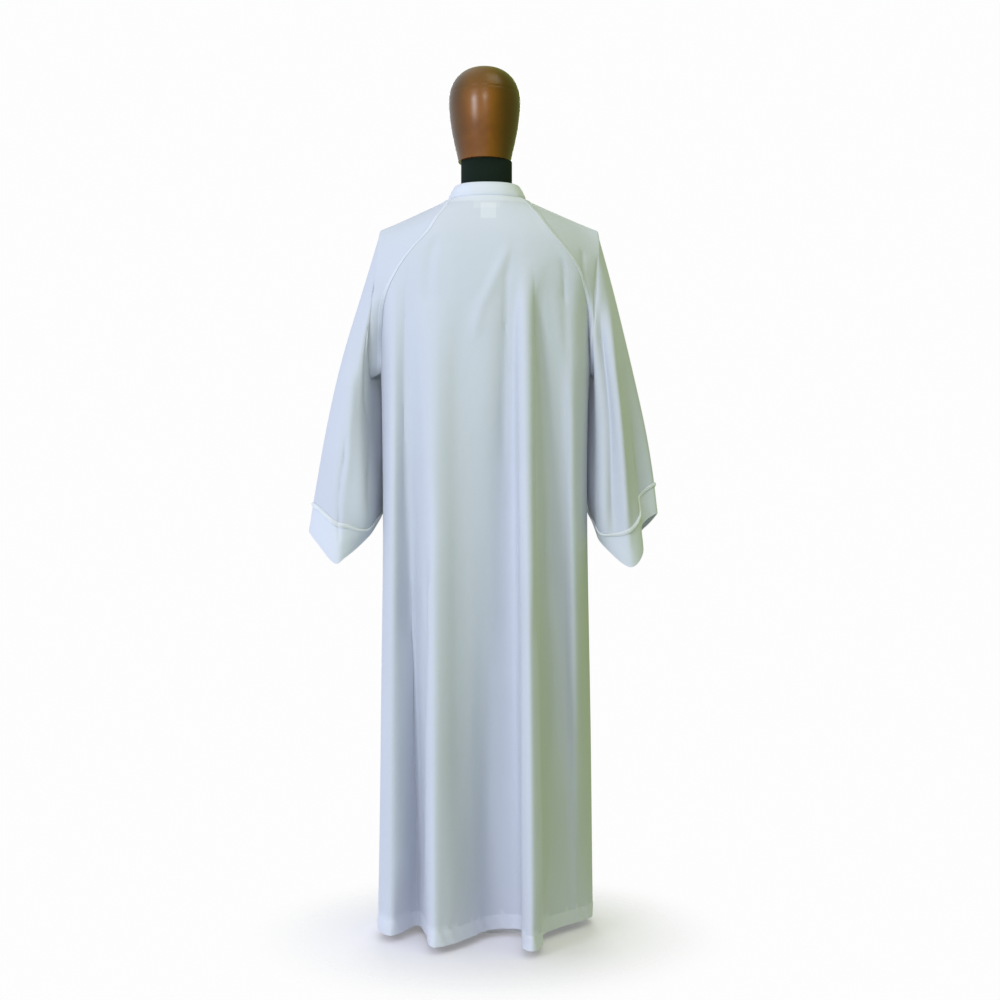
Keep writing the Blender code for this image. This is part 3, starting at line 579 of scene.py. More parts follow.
def body_levels():
    """Levels of the body's rows, from the neck to the hem."""
    levels = [level * MM for level in NECK_ROW_LEVELS]
    for count, end in ((YOKE_ROWS - len(levels) + 1, UNDERARM_LEVEL), (SKIRT_ROWS, HEM_TOP_LEVEL)):
        start = levels[-1]
        levels += [start + (end - start) * (i + 1) / count for i in range(count)]
    return levels + [level * MM for level in HEM_ROW_LEVELS[1:]]


def panel_angles(panel, level):
    """Angles of a panel's columns at a level, from one edge to the other."""
    first, last, middle = PANELS[panel]
    return [middle + panel_angle(angle - middle, level) for angle in fold_angles(first, last)]


def body_grid(panel, levels):
    """Rows of a panel's points, one for each level."""
    grid = []
    for level in levels:
        ring = BodyRing(level)
        grid.append([ring.at(angle) for angle in panel_angles(panel, level)])
    return grid


def armhole_loop(side, back, front):
    """A sleeve's first ring: over the neck's edge, down the back seam and up the front seam."""
    neck = BodyRing(NECK_LEVEL)
    corner = panel_angle(90, NECK_LEVEL)
    steps = range(NECK_EDGE_COLUMNS)
    reach = 90.0 - corner
    over = [neck.at(side * (90.0 - reach * i / NECK_EDGE_COLUMNS)) for i in steps]
    back_over = [neck.at(side * (180.0 - corner - reach * i / NECK_EDGE_COLUMNS)) for i in steps]
    down = [row[0 if side < 0 else -1] for row in back[:YOKE_ROWS + 1]]
    up = [row[-1 if side < 0 else 0] for row in front[:YOKE_ROWS + 1]]
    up.reverse()
    return over + down + up[1:-1] + back_over


def loop_shares(loop):
    """Share of the way round for each point of an armhole loop."""
    runs = running(loop[NECK_EDGE_COLUMNS:NECK_EDGE_COLUMNS + YOKE_ROWS + 1])
    shares = [NECK_CORNER_SHARE * i / NECK_EDGE_COLUMNS for i in range(NECK_EDGE_COLUMNS)]
    shares += [NECK_CORNER_SHARE + (0.5 - NECK_CORNER_SHARE) * run / runs[-1] for run in runs]
    return shares + [1.0 - share for share in reversed(shares[1:-1])]


def station_point(folds, station, share):
    """Point of a sleeve's ring at one station, a share of the way round."""
    shares = column(folds, 1)
    points = [Vector(fold[2 + station]) * MM for fold in folds]
    keys = [shares[-1] - 1.0] + shares + [1.0, 1.0 + shares[1]]
    values = [points[-1]] + points + [points[0], points[1]]
    return smooth(keys, values, share)


def sleeve_lines(folds, loop):
    """Lines that run down a sleeve, one from each point of its armhole loop."""
    lines = []
    for start, share in zip(loop, loop_shares(loop)):
        fold, elbow, seam, edge = [station_point(folds, station, share) for station in range(4)]
        lines.append([start, start.lerp(fold, FOLD_BEFORE), fold,
                      fold.lerp(elbow, FOLD_AFTER), elbow, seam, edge])
    return lines


def armhole_keys(line):
    """Places of a line's rows across the armhole band, with the lapped seam's strip first."""
    end = SLEEVE_RUN[1]
    width = (line[1] - line[0]).length
    strip = end * min(STRIP_SHARE, SEAM_STRIP / width)
    step = end * min(STEP_SHARE, (SEAM_STRIP + SEAM_STEP) / width)
    across = [0.0] + [strip * share for share in SEAM_STRIP_SHARES]
    return across + [step + (end - step) * i / ARMHOLE_ROWS for i in range(ARMHOLE_ROWS + 1)]


def sleeve_grid(lines):
    """Rings of a sleeve from its armhole to its cuff's seam."""
    start = SLEEVE_CORNER_ROWS[-1]
    below = list(SLEEVE_CORNER_ROWS)
    below += [start + (SLEEVE_END - start) * (i + 1) / SLEEVE_BELOW for i in range(SLEEVE_BELOW)]
    runs = [[smooth(SLEEVE_RUN, line, key) for key in armhole_keys(line) + below]
            for line in lines]
    return [list(ring) for ring in zip(*runs)]


def cuff_grid(lines):
    """Rings of a cuff from its seam to its edge."""
    return [[smooth(SLEEVE_RUN, line, key) for line in lines] for key in CUFF_ROWS]


def collar_grid(edge):
    """Rows of the standing collar, up from the points of the neck's edge."""
    top_plan = [value * MM for value in COLLAR_PLAN]
    rows = []
    for share in COLLAR_ROWS:
        row = []
        for angle, foot in edge:
            x, y = oval(top_plan, angle)
            top = Vector((x, y, foot.z + COLLAR_RISE))
            bulge = Vector((x, y, 0)).normalized() * (COLLAR_BULGE * 4 * share * (1 - share))
            row.append(foot.lerp(top, share) + bulge)
        rows.append(row)
    return rows


def neck_edge():
    """Angle and point of every neck point that the collar shares, round from centre front."""
    ring = BodyRing(NECK_LEVEL)
    corner = panel_angle(90, NECK_LEVEL)
    step = (90.0 - corner) / NECK_EDGE_COLUMNS
    over = [corner + step * i for i in range(1, 2 * NECK_EDGE_COLUMNS)]
    angles = panel_angles("front_left", NECK_LEVEL)
    angles += [-angle for angle in reversed(over)]
    angles += panel_angles("back_panel", NECK_LEVEL) + over
    angles += panel_angles("front_right", NECK_LEVEL)
    return [(angle, ring.at(angle)) for angle in angles]


def grid_normals(grid, closed):
    """Outward normal at each point of a grid, from its neighbours."""
    last_row = len(grid) - 1
    columns = len(grid[0])
    normals = []
    for r, row in enumerate(grid):
        normals.append([])
        for c in range(columns):
            before = c - 1 if closed else max(c - 1, 0)
            after = (c + 1) % columns if closed else min(c + 1, columns - 1)
            down = grid[min(r + 1, last_row)][c] - grid[max(r - 1, 0)][c]
            normals[r].append(down.cross(row[after] - row[before]).normalized())
    return normals


def point_key(point):
    """A point's name, the same for each piece that shares it."""
    return tuple(round(value * 1e5) for value in point)


def share_normals(pieces):
    """Give the pieces that meet at a point one common normal there."""
    sums = {}
    for piece in pieces:
        for points, normals in zip(piece["grid"], piece["normals"]):
            for point, normal in zip(points, normals):
                key = point_key(point)
                sums[key] = sums.get(key, Vector()) + normal
    for piece in pieces:
        piece["normals"] = [[sums[point_key(point)].normalized() for point in row]
                            for row in piece["grid"]]


def draw_back(edge, inner):
    """Move the points of an edge towards the next line's by half a seam gap."""
    edge[:] = [a + (b - a).normalized() * (SEAM_GAP / 2) for a, b in zip(edge, inner)]


def open_seams(grid, seams):
    """A copy of the grid, drawn back along the seams named top, bottom, first and last."""
    lines = [list(row) for row in grid]
    for near, far in (("top", "bottom"), ("first", "last")):
        if near in seams:
            draw_back(lines[0], lines[1])
        if far in seams:
            draw_back(lines[-1], lines[-2])
        lines = [list(line) for line in zip(*lines)]
    return lines


def cloth_piece(grid, seams, closed=False):
    """A cloth piece before its wall is made. Its wall runs from the points inwards."""
    return {"grid": grid, "normals": grid_normals(grid, closed), "seams": seams, "closed": closed}


def cut_piece(piece, rows, columns=None):
    """A smaller piece that follows part of another's grid, all the way round without columns."""
    first, last = columns or (0, len(piece["grid"][0]) - 1)
    grid, normals = [[row[first:last + 1] for row in piece[key][rows[0]:rows[1] + 1]]
                     for key in ("grid", "normals")]
    return {"grid": grid, "normals": normals, "seams": ("top",),
            "closed": piece["closed"] and columns is None}


class Crease:
    """A ridge or trough along a line, given as it is seen square on from behind."""

    def __init__(self, form, height, width, points):
        self.form = form
        self.height = height * MM
        self.width = width * MM
        spread = [max(column(points, i)) - min(column(points, i)) for i in (0, 1)]
        self.run = 1 if spread[1] >= spread[0] else 0
        ordered = sorted(points, key=lambda point: point[self.run])
        self.keys = [point[self.run] * MM for point in ordered]
        self.places = [point[1 - self.run] * MM for point in ordered]

    def at(self, point, facing):
        """How far it moves a point whose normal faces the viewer so much."""
        flat = (point.x, point.z)
        run = flat[self.run]
        if facing <= 0 or not self.keys[0] < run < self.keys[-1]:
            return 0.0
        away = abs(flat[1 - self.run] - smooth(self.keys, self.places, run)) / self.width
        if away > CREASE_REACH:
            return 0.0
        share = (run - self.keys[0]) / (self.keys[-1] - self.keys[0])
        ends = ease(share / CREASE_FADE) * ease((1 - share) / CREASE_FADE)
        profile = math.exp(-away * away) if self.form == "soft" else math.exp(-CREASE_EDGE * away)
        return self.height * profile * ends * ease(facing / CREASE_FACING)


def hanging_wave(point):
    """Slow waves of the hanging cloth, drawn out down its length."""
    place = Vector((point.x * WAVE_ACROSS, point.y * WAVE_ACROSS, point.z * WAVE_DOWN))
    return WAVE_HEIGHT * noise.noise(place)


def hem_pucker(point):
    """Small slanting puckers that the hem's stitching draws up, and the stitching's groove."""
    nearness = ease((HEM_TOP_LEVEL + PUCKER_REACH - point.z) / PUCKER_REACH)
    if nearness <= 0:
        return 0.0
    place = (point.x + PUCKER_LEAN * point.y) / PUCKER_PITCH + point.z * PUCKER_SLANT
    strength = 0.5 + noise.noise(Vector((point.x, point.y, 0.0)) * PUCKER_CHANGE)
    groove = math.exp(-((point.z - HEM_TOP_LEVEL) / STITCH_GROOVE_WIDTH) ** 2)
    return PUCKER_HEIGHT * nearness * strength * math.sin(place) - STITCH_GROOVE * groove


def crease_piece(piece, folds, calm):
    """Move a piece's points out by its folds; calm gives a point's share of the movement."""
    grid = piece["grid"]
    across = [running(row) for row in grid]
    down = [running(line) for line in zip(*grid)]
    for r, row in enumerate(grid):
        for c, point in enumerate(row):
            normal = piece["normals"][r][c]
            height = hanging_wave(point) + hem_pucker(point)
            height += sum(fold.at(point, -normal.y) for fold in folds)
            left = across[r][c]
            right = across[r][-1] - left
            row[c] = point + normal * (height * calm(left, right, down[c][r]))
    piece["normals"] = grid_normals(grid, piece["closed"])


def body_calm(left, right, top):
    """A body panel lies calm near its neck and its side seams."""
    return min(ease(left / SEAM_CALM), ease(right / SEAM_CALM)) * ease(top / SEAM_CALM)


def sleeve_calm(left, right, top):
    """A sleeve lies calm near its armhole."""
    return ease(top / SEAM_CALM)


def full(left, right, top):
    """A cuff moves as its sleeve's end does."""
    return 1.0


def double_everywhere(point, r, c):
    """Cloth that is doubled all over, or a band of it."""
    return 1.0


def wall_faces(rows, columns, closed):
    """Faces of a closed wall, each as the side, row and column of its corners."""
    last = rows - 1
    spans = columns if closed else columns - 1
    faces = []
    for c in range(spans):
        d = c + 1
        for r in range(last):
            faces.append(((0, r, c), (0, r + 1, c), (0, r + 1, d), (0, r, d)))
            faces.append(((1, r, c), (1, r, d), (1, r + 1, d), (1, r + 1, c)))
        faces.append(((0, 0, c), (0, 0, d), (1, 0, d), (1, 0, c)))
        faces.append(((0, last, d), (0, last, c), (1, last, c), (1, last, d)))
    for r in range(0 if closed else last):
        faces.append(((0, r + 1, 0), (0, r, 0), (1, r, 0), (1, r + 1, 0)))
        faces.append(((0, r, spans), (0, r + 1, spans), (1, r + 1, spans), (1, r, spans)))
    return faces


def cloth_wall(name, piece, outer_at, inner_at, finish, double=double_everywhere):
    """A closed wall between two offsets of a piece, with a map in metres along its threads."""
    grid = open_seams(piece["grid"], piece["seams"])
    rows = len(grid)
    columns = len(grid[0])
    spots = [(r, c) for r in range(rows) for c in range(columns)]
    points = [grid[r][c] + piece["normals"][r][c] * offset(r, c)
              for offset in (outer_at, inner_at) for r, c in spots]
    faces = wall_faces(rows, columns, piece["closed"])
    numbers = [[side * len(spots) + r * columns + c % columns for side, r, c in face]
               for face in faces]
    across = [running(row + row[:1]) for row in grid]
    down = [running(line) for line in zip(*grid)]
    mesh = bpy.data.meshes.new(name)
    mesh.from_pydata(points, [], numbers)
    weave = mesh.uv_layers.new(name="weave")
    weave.data.foreach_set("uv", [value for face in faces for side, r, c in face
                                  for value in (across[r][c], -down[c % columns][r])])
    layer = mesh.attributes.new("doubled", "FLOAT", "POINT")
    layer.data.foreach_set("value", [double(grid[r][c], r, c) for r, c in spots] * 2)
    return smooth_object(name, mesh, finish)


def smooth_object(name, mesh, finish):
    """Put a mesh in the scene, shaded smooth up to its sharp edges."""
    mesh.shade_smooth()
    mesh.set_sharp_from_angle(angle=math.radians(SHARP_ANGLE))
    return add_object(name, mesh, finish)


def add_object(name, mesh, finish):
    """Put a mesh in the scene under its own finish."""
    mesh.materials.clear()
    mesh.materials.append(finish)
    item = bpy.data.objects.new(name, mesh)
    bpy.context.scene.collection.objects.link(item)
    return item


def robe_pieces():
    """Every main cloth piece on the fine grid, creased, with its shared normals, by name."""
    levels = body_levels()
    bodies = {panel: body_grid(panel, levels) for panel in PANELS}
    pieces = {panel: cloth_piece(grid, ("top", "first", "last"))
              for panel, grid in bodies.items()}
    for side, turn, folds in (("left", -1, LEFT_SLEEVE), ("right", 1, RIGHT_SLEEVE)):
        loop = armhole_loop(turn, bodies["back_panel"], bodies["front_" + side])
        lines = sleeve_lines(folds, loop)
        # Rows of the right side are turned round, so that both sides face outwards.
        sleeve = [ring[::-turn] for ring in sleeve_grid(lines)]
        cuff = [ring[::-turn] for ring in cuff_grid(lines)]
        pieces["sleeve_" + side] = cloth_piece(sleeve, ("top", "bottom"), True)
        pieces["cuff_" + side] = cloth_piece(cuff, ("top",), True)
    pieces["collar"] = cloth_piece(collar_grid(neck_edge())[::-1], ("bottom", "first", "last"))
    share_normals(pieces.values())
    back_creases = [Crease(*row[1:]) for row in BACK_CREASES]
    sleeve_creases = [Crease(*row[1:]) for row in SLEEVE_CREASES]
    for panel in PANELS:
        crease_piece(pieces[panel], back_creases, body_calm)
    for side in SIDES:
        crease_piece(pieces["sleeve_" + side], sleeve_creases, sleeve_calm)
        crease_piece(pieces["cuff_" + side], sleeve_creases, full)
    share_normals(pieces.values())
    return pieces


class Value:
    """One output of a node. Arithmetic on it adds Math nodes."""

    def __init__(self, nodes, output):
        self.nodes = nodes
        self.output = output

    def math(self, operation, first, second=0.0):
        """A Math node on two numbers."""
        return self.nodes.node("ShaderNodeMath", {"operation": operation}, {0: first, 1: second})

    def __add__(self, other):
        return self.math("ADD", self, other)

    __radd__ = __add__

    def __sub__(self, other):
        return self.math("SUBTRACT", self, other)

    def __rsub__(self, other):
        return self.math("SUBTRACT", other, self)

    def __mul__(self, other):
        return self.math("MULTIPLY", self, other)

    __rmul__ = __mul__

    def wave(self, length):
        """A sine along the value, from 0 to 1."""
        return self.math("SINE", self * (2 * math.pi / length)) * 0.5 + 0.5

    def step(self, low, high):
        """A smooth step from 0 below low to 1 above high."""
        return self.nodes.node("ShaderNodeMapRange", {"interpolation_type": "SMOOTHSTEP"},
                               {"Value": self, "From Min": low, "From Max": high})


class Nodes:
    """A tree of nodes, for a material, the world or Geometry Nodes."""

    def __init__(self, tree):
        self.tree = tree

    def node(self, kind, settings=None, inputs=None, out=0):
        """A node of a kind: its settings first, then its sockets' values or links."""
        node = self.tree.nodes.new(kind)
        for key, value in (settings or {}).items():
            setattr(node, key, value)
        for key, value in (inputs or {}).items():
            self.feed(node.inputs[key], value)
        return Value(self, node.outputs[out])

    def feed(self, socket, value):
        """Set a socket to a plain value or a colour, or link an output to it."""
        if isinstance(value, Value):
            self.tree.links.new(value.output, socket)
        elif isinstance(value, tuple) and socket.type == "RGBA":
            socket.default_value = (*value, 1.0)
        else:
            socket.default_value = value

    def mix(self, share, first, second):
        """A mix of two colours."""
        return self.node("ShaderNodeMix", {"data_type": "RGBA"},
                         {0: share, 6: first, 7: second}, out=2)


class Finish(Nodes):
    """A material and its shader nodes."""

    def __init__(self, name):
        self.material = bpy.data.materials.new(name)
        self.material.use_nodes = True
        super().__init__(self.material.node_tree)
        self.shader = self.tree.nodes["Principled BSDF"]

    def noise(self, place, scale, detail=2.0, roughness=0.5):
        """Smooth noise from 0 to 1."""
        return self.node("ShaderNodeTexNoise", {},
                         {"Vector": place, "Scale": scale, "Detail": detail,
                          "Roughness": roughness})

    def place(self):
        """The point's place on the object, in metres."""
        return self.node("ShaderNodeTexCoord", out="Object")

    def threads(self):
        """The point's place on a cloth wall's own map, in metres."""
        return self.node("ShaderNodeUVMap", {"uv_map": "weave"})

    def axes(self, vector):
        """A vector's three numbers."""
        split = self.node("ShaderNodeSeparateXYZ", {}, {0: vector})
        return [Value(self, output) for output in split.output.node.outputs]

    def between(self, value, low, high):
        """1 where a value lies between two sizes in mm, with soft edges."""
        above = value.step(low * MM - LABEL_BLUR, low * MM + LABEL_BLUR)
        return above * (1.0 - value.step(high * MM - LABEL_BLUR, high * MM + LABEL_BLUR))

    def stretched(self, vector, across, deep, along):
        """A vector with its axes scaled."""
        return self.node("ShaderNodeVectorMath", {"operation": "MULTIPLY"},
                         {0: vector, 1: (across, deep, along)})

    def bump(self, height, distance, strength=1.0, below=None):
        """A bump from a height, over another bump."""
        inputs = {"Height": height, "Distance": distance, "Strength": strength}
        if below is not None:
            inputs["Normal"] = below
        return self.node("ShaderNodeBump", {}, inputs)

    def surface(self, **sockets):
        """Set the shader's sockets; an underscore stands for a space."""
        for key, value in sockets.items():
            self.feed(self.shader.inputs[key.replace("_", " ")], value)
        return self.material


def toned(tone, share):
    """A colour at a share of its strength."""
    return tuple(value * share for value in tone)


def woven(finish, doubled, painted_see_through=()):
    """Fine crepe in plain weave, lighter where doubled; painted_see_through lists the painted shade and
    painted light of what shows through it.
    """
    threads = finish.threads()
    across, down, _ = finish.axes(threads)
    place = finish.place()
    grain = finish.noise(threads, CREPE_SCALE, 3.0, 0.65)
    slub = finish.noise(finish.stretched(threads, SLUB_ACROSS, SLUB_DOWN, 1.0), 1.0, 2.0)
    cloud = finish.noise(place, CLOUD_SCALE, 3.0)
    mesh = across.wave(THREAD_PITCH) * down.wave(THREAD_PITCH)
    plain = finish.mix(cloud.step(*CLOUD_TURN), CLOTH_TONE, toned(CLOTH_TONE, CLOUD_TONE))
    threaded = finish.mix(grain * GRAIN_SHADE + slub * SLUB_SHADE, plain,
                          toned(CLOTH_TONE, THREAD_SHADE))
    colour = finish.mix(doubled * DOUBLED_SHARE, threaded, DOUBLED_TONE)
    # Mix in the painted shade and painted light of what shows through the cloth.
    for share, painted_see_through_tone in painted_see_through:
        colour = finish.mix(share, colour, painted_see_through_tone)
    height = mesh * MESH_RELIEF + grain * GRAIN_RELIEF + slub * SLUB_RELIEF
    below = finish.bump(finish.noise(place, SOFT_SCALE, 3.0), SOFT_DEPTH, SOFT_STRENGTH)
    return finish.surface(Base_Color=colour, Roughness=CREPE_ROUGH - GRAIN_POLISH * grain,
                          Normal=finish.bump(height, WEAVE_DEPTH, WEAVE_STRENGTH, below),
                          Sheen_Weight=SHEEN, Sheen_Roughness=SHEEN_SPREAD)


def cloth_finish(name):
    """The robe's cloth, with painted shade where the dark form shows faintly through it and painted light
    where the labels do.
    """
    finish = Finish(name)
    doubled = finish.node("ShaderNodeAttribute", {"attribute_name": "doubled"}, out="Fac")
    across, deep, up = finish.axes(finish.place())
    over_form = up.step(FORM_EDGE - FORM_EDGE_BLUR, FORM_EDGE + FORM_EDGE_BLUR)
    inner, outer = FORM_SIDE
    beside = across.step(-outer, -inner) * (1.0 - across.step(inner, outer))
    under_neck = 1.0 - up.step(*FORM_TOP)
    # Painted shade: the dark form seen faintly through the cloth darkens its colour.
    painted_see_through = [(over_form * beside * under_neck * FORM_SEEN_THROUGH_SHADE_SHARE, FORM_SEEN_THROUGH_SHADE)]
    at_back = 1.0 - deep.step(FORM_BACK, 0.0)
    # Painted light: each label seen faintly through the cloth lightens its colour.
    for left, right, low, high, share in LABEL_BOXES:
        label_glow_box = finish.between(across, left, right) * finish.between(up, low, high)
        painted_see_through.append((label_glow_box * at_back * share, LABEL_SEEN_THROUGH_LIGHT))
    return woven(finish, doubled, painted_see_through)


def thread_finish(name, tone, pitch):
    """Spun thread: a twist along Object coordinates and a soft sheen."""
    finish = Finish(name)
    place = finish.place()
    across, deep, up = finish.axes(place)
    twist = (across + deep + up).wave(pitch)
    fluff = finish.noise(place, FLUFF_SCALE)
    colour = finish.mix(twist * 0.4 + fluff * 0.3, tone, toned(tone, TWIST_SHADE))
    return finish.surface(Base_Color=colour, Roughness=THREAD_ROUGH + 0.2 * fluff,
                          Normal=finish.bump(twist, TWIST_DEPTH, 0.5), Sheen_Weight=THREAD_SHEEN)


def label_finish(name):
    """Blank woven satin label with fine cross ribs."""
    finish = Finish(name)
    threads = finish.threads()
    ribs = finish.axes(threads)[1].wave(SATIN_RIB)
    fine = finish.noise(threads, SATIN_SCALE)
    colour = finish.mix(ribs * 0.4 + fine * 0.3, SATIN_LIGHT, SATIN_DARK)
    return finish.surface(Base_Color=colour, Roughness=SATIN_ROUGH + 0.2 * fine,
                          Normal=finish.bump(ribs, SATIN_DEPTH, 0.5))


def head_finish(name):
    """Polished brown cover: fine pores, painted shade darkening both sides, and a crown in knitted ribs
    and rows.
    """
    finish = Finish(name)
    place = finish.place()
    across, deep, up = finish.axes(place)
    ribs = across.math("ARCTAN2", across, deep).wave(2 * math.pi / CROWN_RIBS)
    knit = ribs * RIB_SHARE + up.wave(KNIT_PITCH) * (1.0 - RIB_SHARE)
    crown = up.step(*CROWN_BAND)
    grain = finish.noise(place, GRAIN_SCALE, 4.0, 0.6)
    pores = finish.node("ShaderNodeTexVoronoi", {"feature": "DISTANCE_TO_EDGE"},
                        {"Vector": place, "Scale": PORE_SCALE})
    patches = finish.noise(place, PATCH_SCALE, 4.0)
    # Painted shade: both sides of the head are darkened, as if light fell off there.
    right = (across - HEAD_X).step(*HEAD_RIGHT_SHADE_SPAN)
    left = (HEAD_X - across).step(*HEAD_LEFT_SHADE_SPAN)
    colour = finish.mix(patches.step(0.3, 0.7), HEAD_DARK_PATCH, HEAD_LIGHT_PATCH)
    for share, tone in ((crown, CROWN_TONE),
                        (grain * PORE_SHARE, PORE_TONE),
                        (knit * crown * KNIT_SHARE, KNIT_TONE),
                        (right * RIGHT_SIDE_SHADE_SHARE, HEAD_SIDE_PAINTED_SHADE),
                        (left * LEFT_SIDE_SHADE_SHARE, HEAD_SIDE_PAINTED_SHADE)):
        colour = finish.mix(share, colour, tone)
    below = finish.bump(knit * crown, KNIT_DEPTH, 0.5)
    return finish.surface(Base_Color=colour, Roughness=HEAD_ROUGH + 0.12 * grain,
                          Normal=finish.bump(pores * 0.5 + grain, GRAIN_DEPTH, 0.5, below),
                          Specular_IOR_Level=HEAD_GLOSS)


def jersey_finish(name):
    """Dark stretch jersey of the form, in fine knitted ribs."""
    finish = Finish(name)
    place = finish.place()
    across, deep, up = finish.axes(place)
    wales = across.math("ARCTAN2", across, deep).wave(2 * math.pi / JERSEY_WALES)
    fluff = finish.noise(place, JERSEY_SCALE, 3.0)
    colour = finish.mix(wales * 0.3 + fluff * 0.5, JERSEY_TONE, toned(JERSEY_TONE, JERSEY_LIGHT))
    relief = wales * up.wave(JERSEY_COURSE) + fluff
    return finish.surface(Base_Color=colour, Roughness=JERSEY_ROUGH + 0.1 * fluff,
                          Normal=finish.bump(relief, JERSEY_DEPTH, 0.6),
                          Specular_IOR_Level=JERSEY_GLOSS)


def paint_finish(name):
    """Satin white stand paint, a little scuffed at the floor."""
    finish = Finish(name)
    place = finish.place()
    up = finish.axes(place)[2]
    orange_peel = finish.noise(place, PAINT_SCALE)
    streaks = finish.stretched(place, SCUFF_ACROSS, SCUFF_ACROSS, SCUFF_DOWN)
    scuffs = finish.noise(streaks, 1.0, 4.0).step(0.58, 0.7)
    low = 1.0 - up.step(0.0, SCUFF_TOP)
    colour = finish.mix(orange_peel, PAINT_DARK, PAINT_LIGHT)
    colour = finish.mix(scuffs * low * 0.6, colour, SCUFF_TONE)
    return finish.surface(Base_Color=colour, Roughness=PAINT_ROUGH + 0.2 * scuffs,
                          Normal=finish.bump(orange_peel, PAINT_DEPTH, 0.3))


def floor_finish(name):
    """Pale studio floor that fades into the white surroundings away from the robe."""
    finish = Finish(name)
    finish.surface(Base_Color=FLOOR_TONE, Roughness=FLOOR_ROUGH, Emission_Color=(1.0, 1.0, 1.0),
                   Emission_Strength=FLOOR_GLOW)
    away = finish.node("ShaderNodeVectorMath", {"operation": "LENGTH"}, {0: finish.place()},
                       out="Value")
    plain = Value(finish, finish.shader.outputs[0])
    both = finish.node("ShaderNodeMixShader", {},
                       {0: away.step(*FLOOR_FADE), 1: plain,
                        2: finish.node("ShaderNodeBsdfTransparent")})
    finish.feed(finish.tree.nodes["Material Output"].inputs["Surface"], both)
    return finish.material


class PathTree(Nodes):
    """A Geometry Nodes tree that lays something along paths, with named sizes."""

    def __init__(self, name, sizes):
        super().__init__(bpy.data.node_groups.new(name, "GeometryNodeTree"))
        face = self.tree.interface
        face.new_socket(name="Path", in_out="INPUT", socket_type="NodeSocketGeometry")
        for size, value in sizes.items():
            kind = "NodeSocketInt" if isinstance(value, int) else "NodeSocketFloat"
            face.new_socket(name=size, in_out="INPUT", socket_type=kind).default_value = value
        face.new_socket(name="Result", in_out="OUTPUT", socket_type="NodeSocketGeometry")
        self.start = self.tree.nodes.new("NodeGroupInput")

    def given(self, name):
        """One of the tree's own inputs."""
        return Value(self, self.start.outputs[name])

    def finished(self, geometry, finish):
        """Realize the instances and give everything its finish."""
        real = self.node("GeometryNodeRealizeInstances", {}, {0: geometry})
        smoothed = self.node("GeometryNodeSetShadeSmooth", {}, {0: real})
        coat = self.node("GeometryNodeSetMaterial", {},
                         {"Geometry": smoothed, "Material": finish})
        self.feed(self.tree.nodes.new("NodeGroupOutput").inputs[0], coat)
        return self.tree


def stitch_tree(finish):
    """Stitches laid end to end along a path, each one slightly different."""
    tree = PathTree("stitch run", {**STITCH_SIZES, "Seed": 1})
    path = tree.node("GeometryNodeMeshToCurve", {}, {0: tree.given("Path")})
    even = tree.node("GeometryNodeResampleCurve", {"mode": "LENGTH"},
                     {"Curve": path, "Length": tree.given("Pitch")})
    turn = tree.node("FunctionNodeAlignRotationToVector", {"axis": "X"},
                     {"Vector": tree.node("GeometryNodeInputTangent")})
    bead = tree.node("GeometryNodeMeshUVSphere", {}, STITCH_BEAD, out="Mesh")
    thick = tree.given("Thickness")
    size = tree.node("ShaderNodeCombineXYZ", {}, {0: tree.given("Length"), 1: thick, 2: thick})
    low, high = STITCH_CHANGE
    change = tree.node("FunctionNodeRandomValue", {"data_type": "FLOAT"},
                       {2: low, 3: high, "Seed": tree.given("Seed")}, out=1)
    sized = tree.node("ShaderNodeVectorMath", {"operation": "SCALE"}, {0: size, "Scale": change})
    beads = tree.node("GeometryNodeInstanceOnPoints", {},
                      {"Points": even, "Instance": bead, "Rotation": turn, "Scale": sized})
    return tree.finished(beads, finish)


def strand_tree(finish):
    """Round strands that follow their paths."""
    tree = PathTree("strand run", {"Radius": PLAIT_RADIUS})
    path = tree.node("GeometryNodeMeshToCurve", {}, {0: tree.given("Path")})
    ring = tree.node("GeometryNodeCurvePrimitiveCircle", {},
                     {"Resolution": PLAIT_SIDES, "Radius": tree.given("Radius")})
    tube = tree.node("GeometryNodeCurveToMesh", {}, {"Curve": path, "Profile Curve": ring})
    return tree.finished(tube, finish)


def run_tree(name, paths, tree, sizes, finish):
    """The plain mesh that a tree makes along some paths; each path is open or closed."""
    points = []
    edges = []
    for path, closed in paths:
        first = len(points)
        points += path
        edges += [(first + i, first + i + 1) for i in range(len(path) - 1)]
        if closed:
            edges.append((len(points) - 1, first))
    guide_mesh = bpy.data.meshes.new(name + "_path")
    guide_mesh.from_pydata(points, edges, [])
    guide = add_object(name + "_path", guide_mesh, finish)
    maker = guide.modifiers.new("Maker", "NODES")
    maker.node_group = tree
    for item in tree.interface.items_tree:
        if item.in_out == "INPUT" and item.name in sizes:
            maker[item.identifier] = sizes[item.name]
    shape = guide.evaluated_get(bpy.context.evaluated_depsgraph_get())
    mesh = bpy.data.meshes.new_from_object(shape)
    mesh.name = name
    guide.modifiers.remove(maker)
    bpy.data.objects.remove(guide)
    return add_object(name, mesh, finish)


def above(piece, r, c, lift):
    """Point a little above a piece's outer side."""
    return piece["grid"][r][c] + piece["normals"][r][c] * lift


def row_path(piece, r, lift=STITCH_LIFT):
    """Path along one row of a piece, and whether it closes."""
    return [above(piece, r, c, lift) for c in range(len(piece["grid"][0]))], piece["closed"]


def column_path(piece, c):
    """Path down one column of a piece."""
    return [above(piece, r, c, STITCH_LIFT) for r in range(len(piece["grid"]))], False


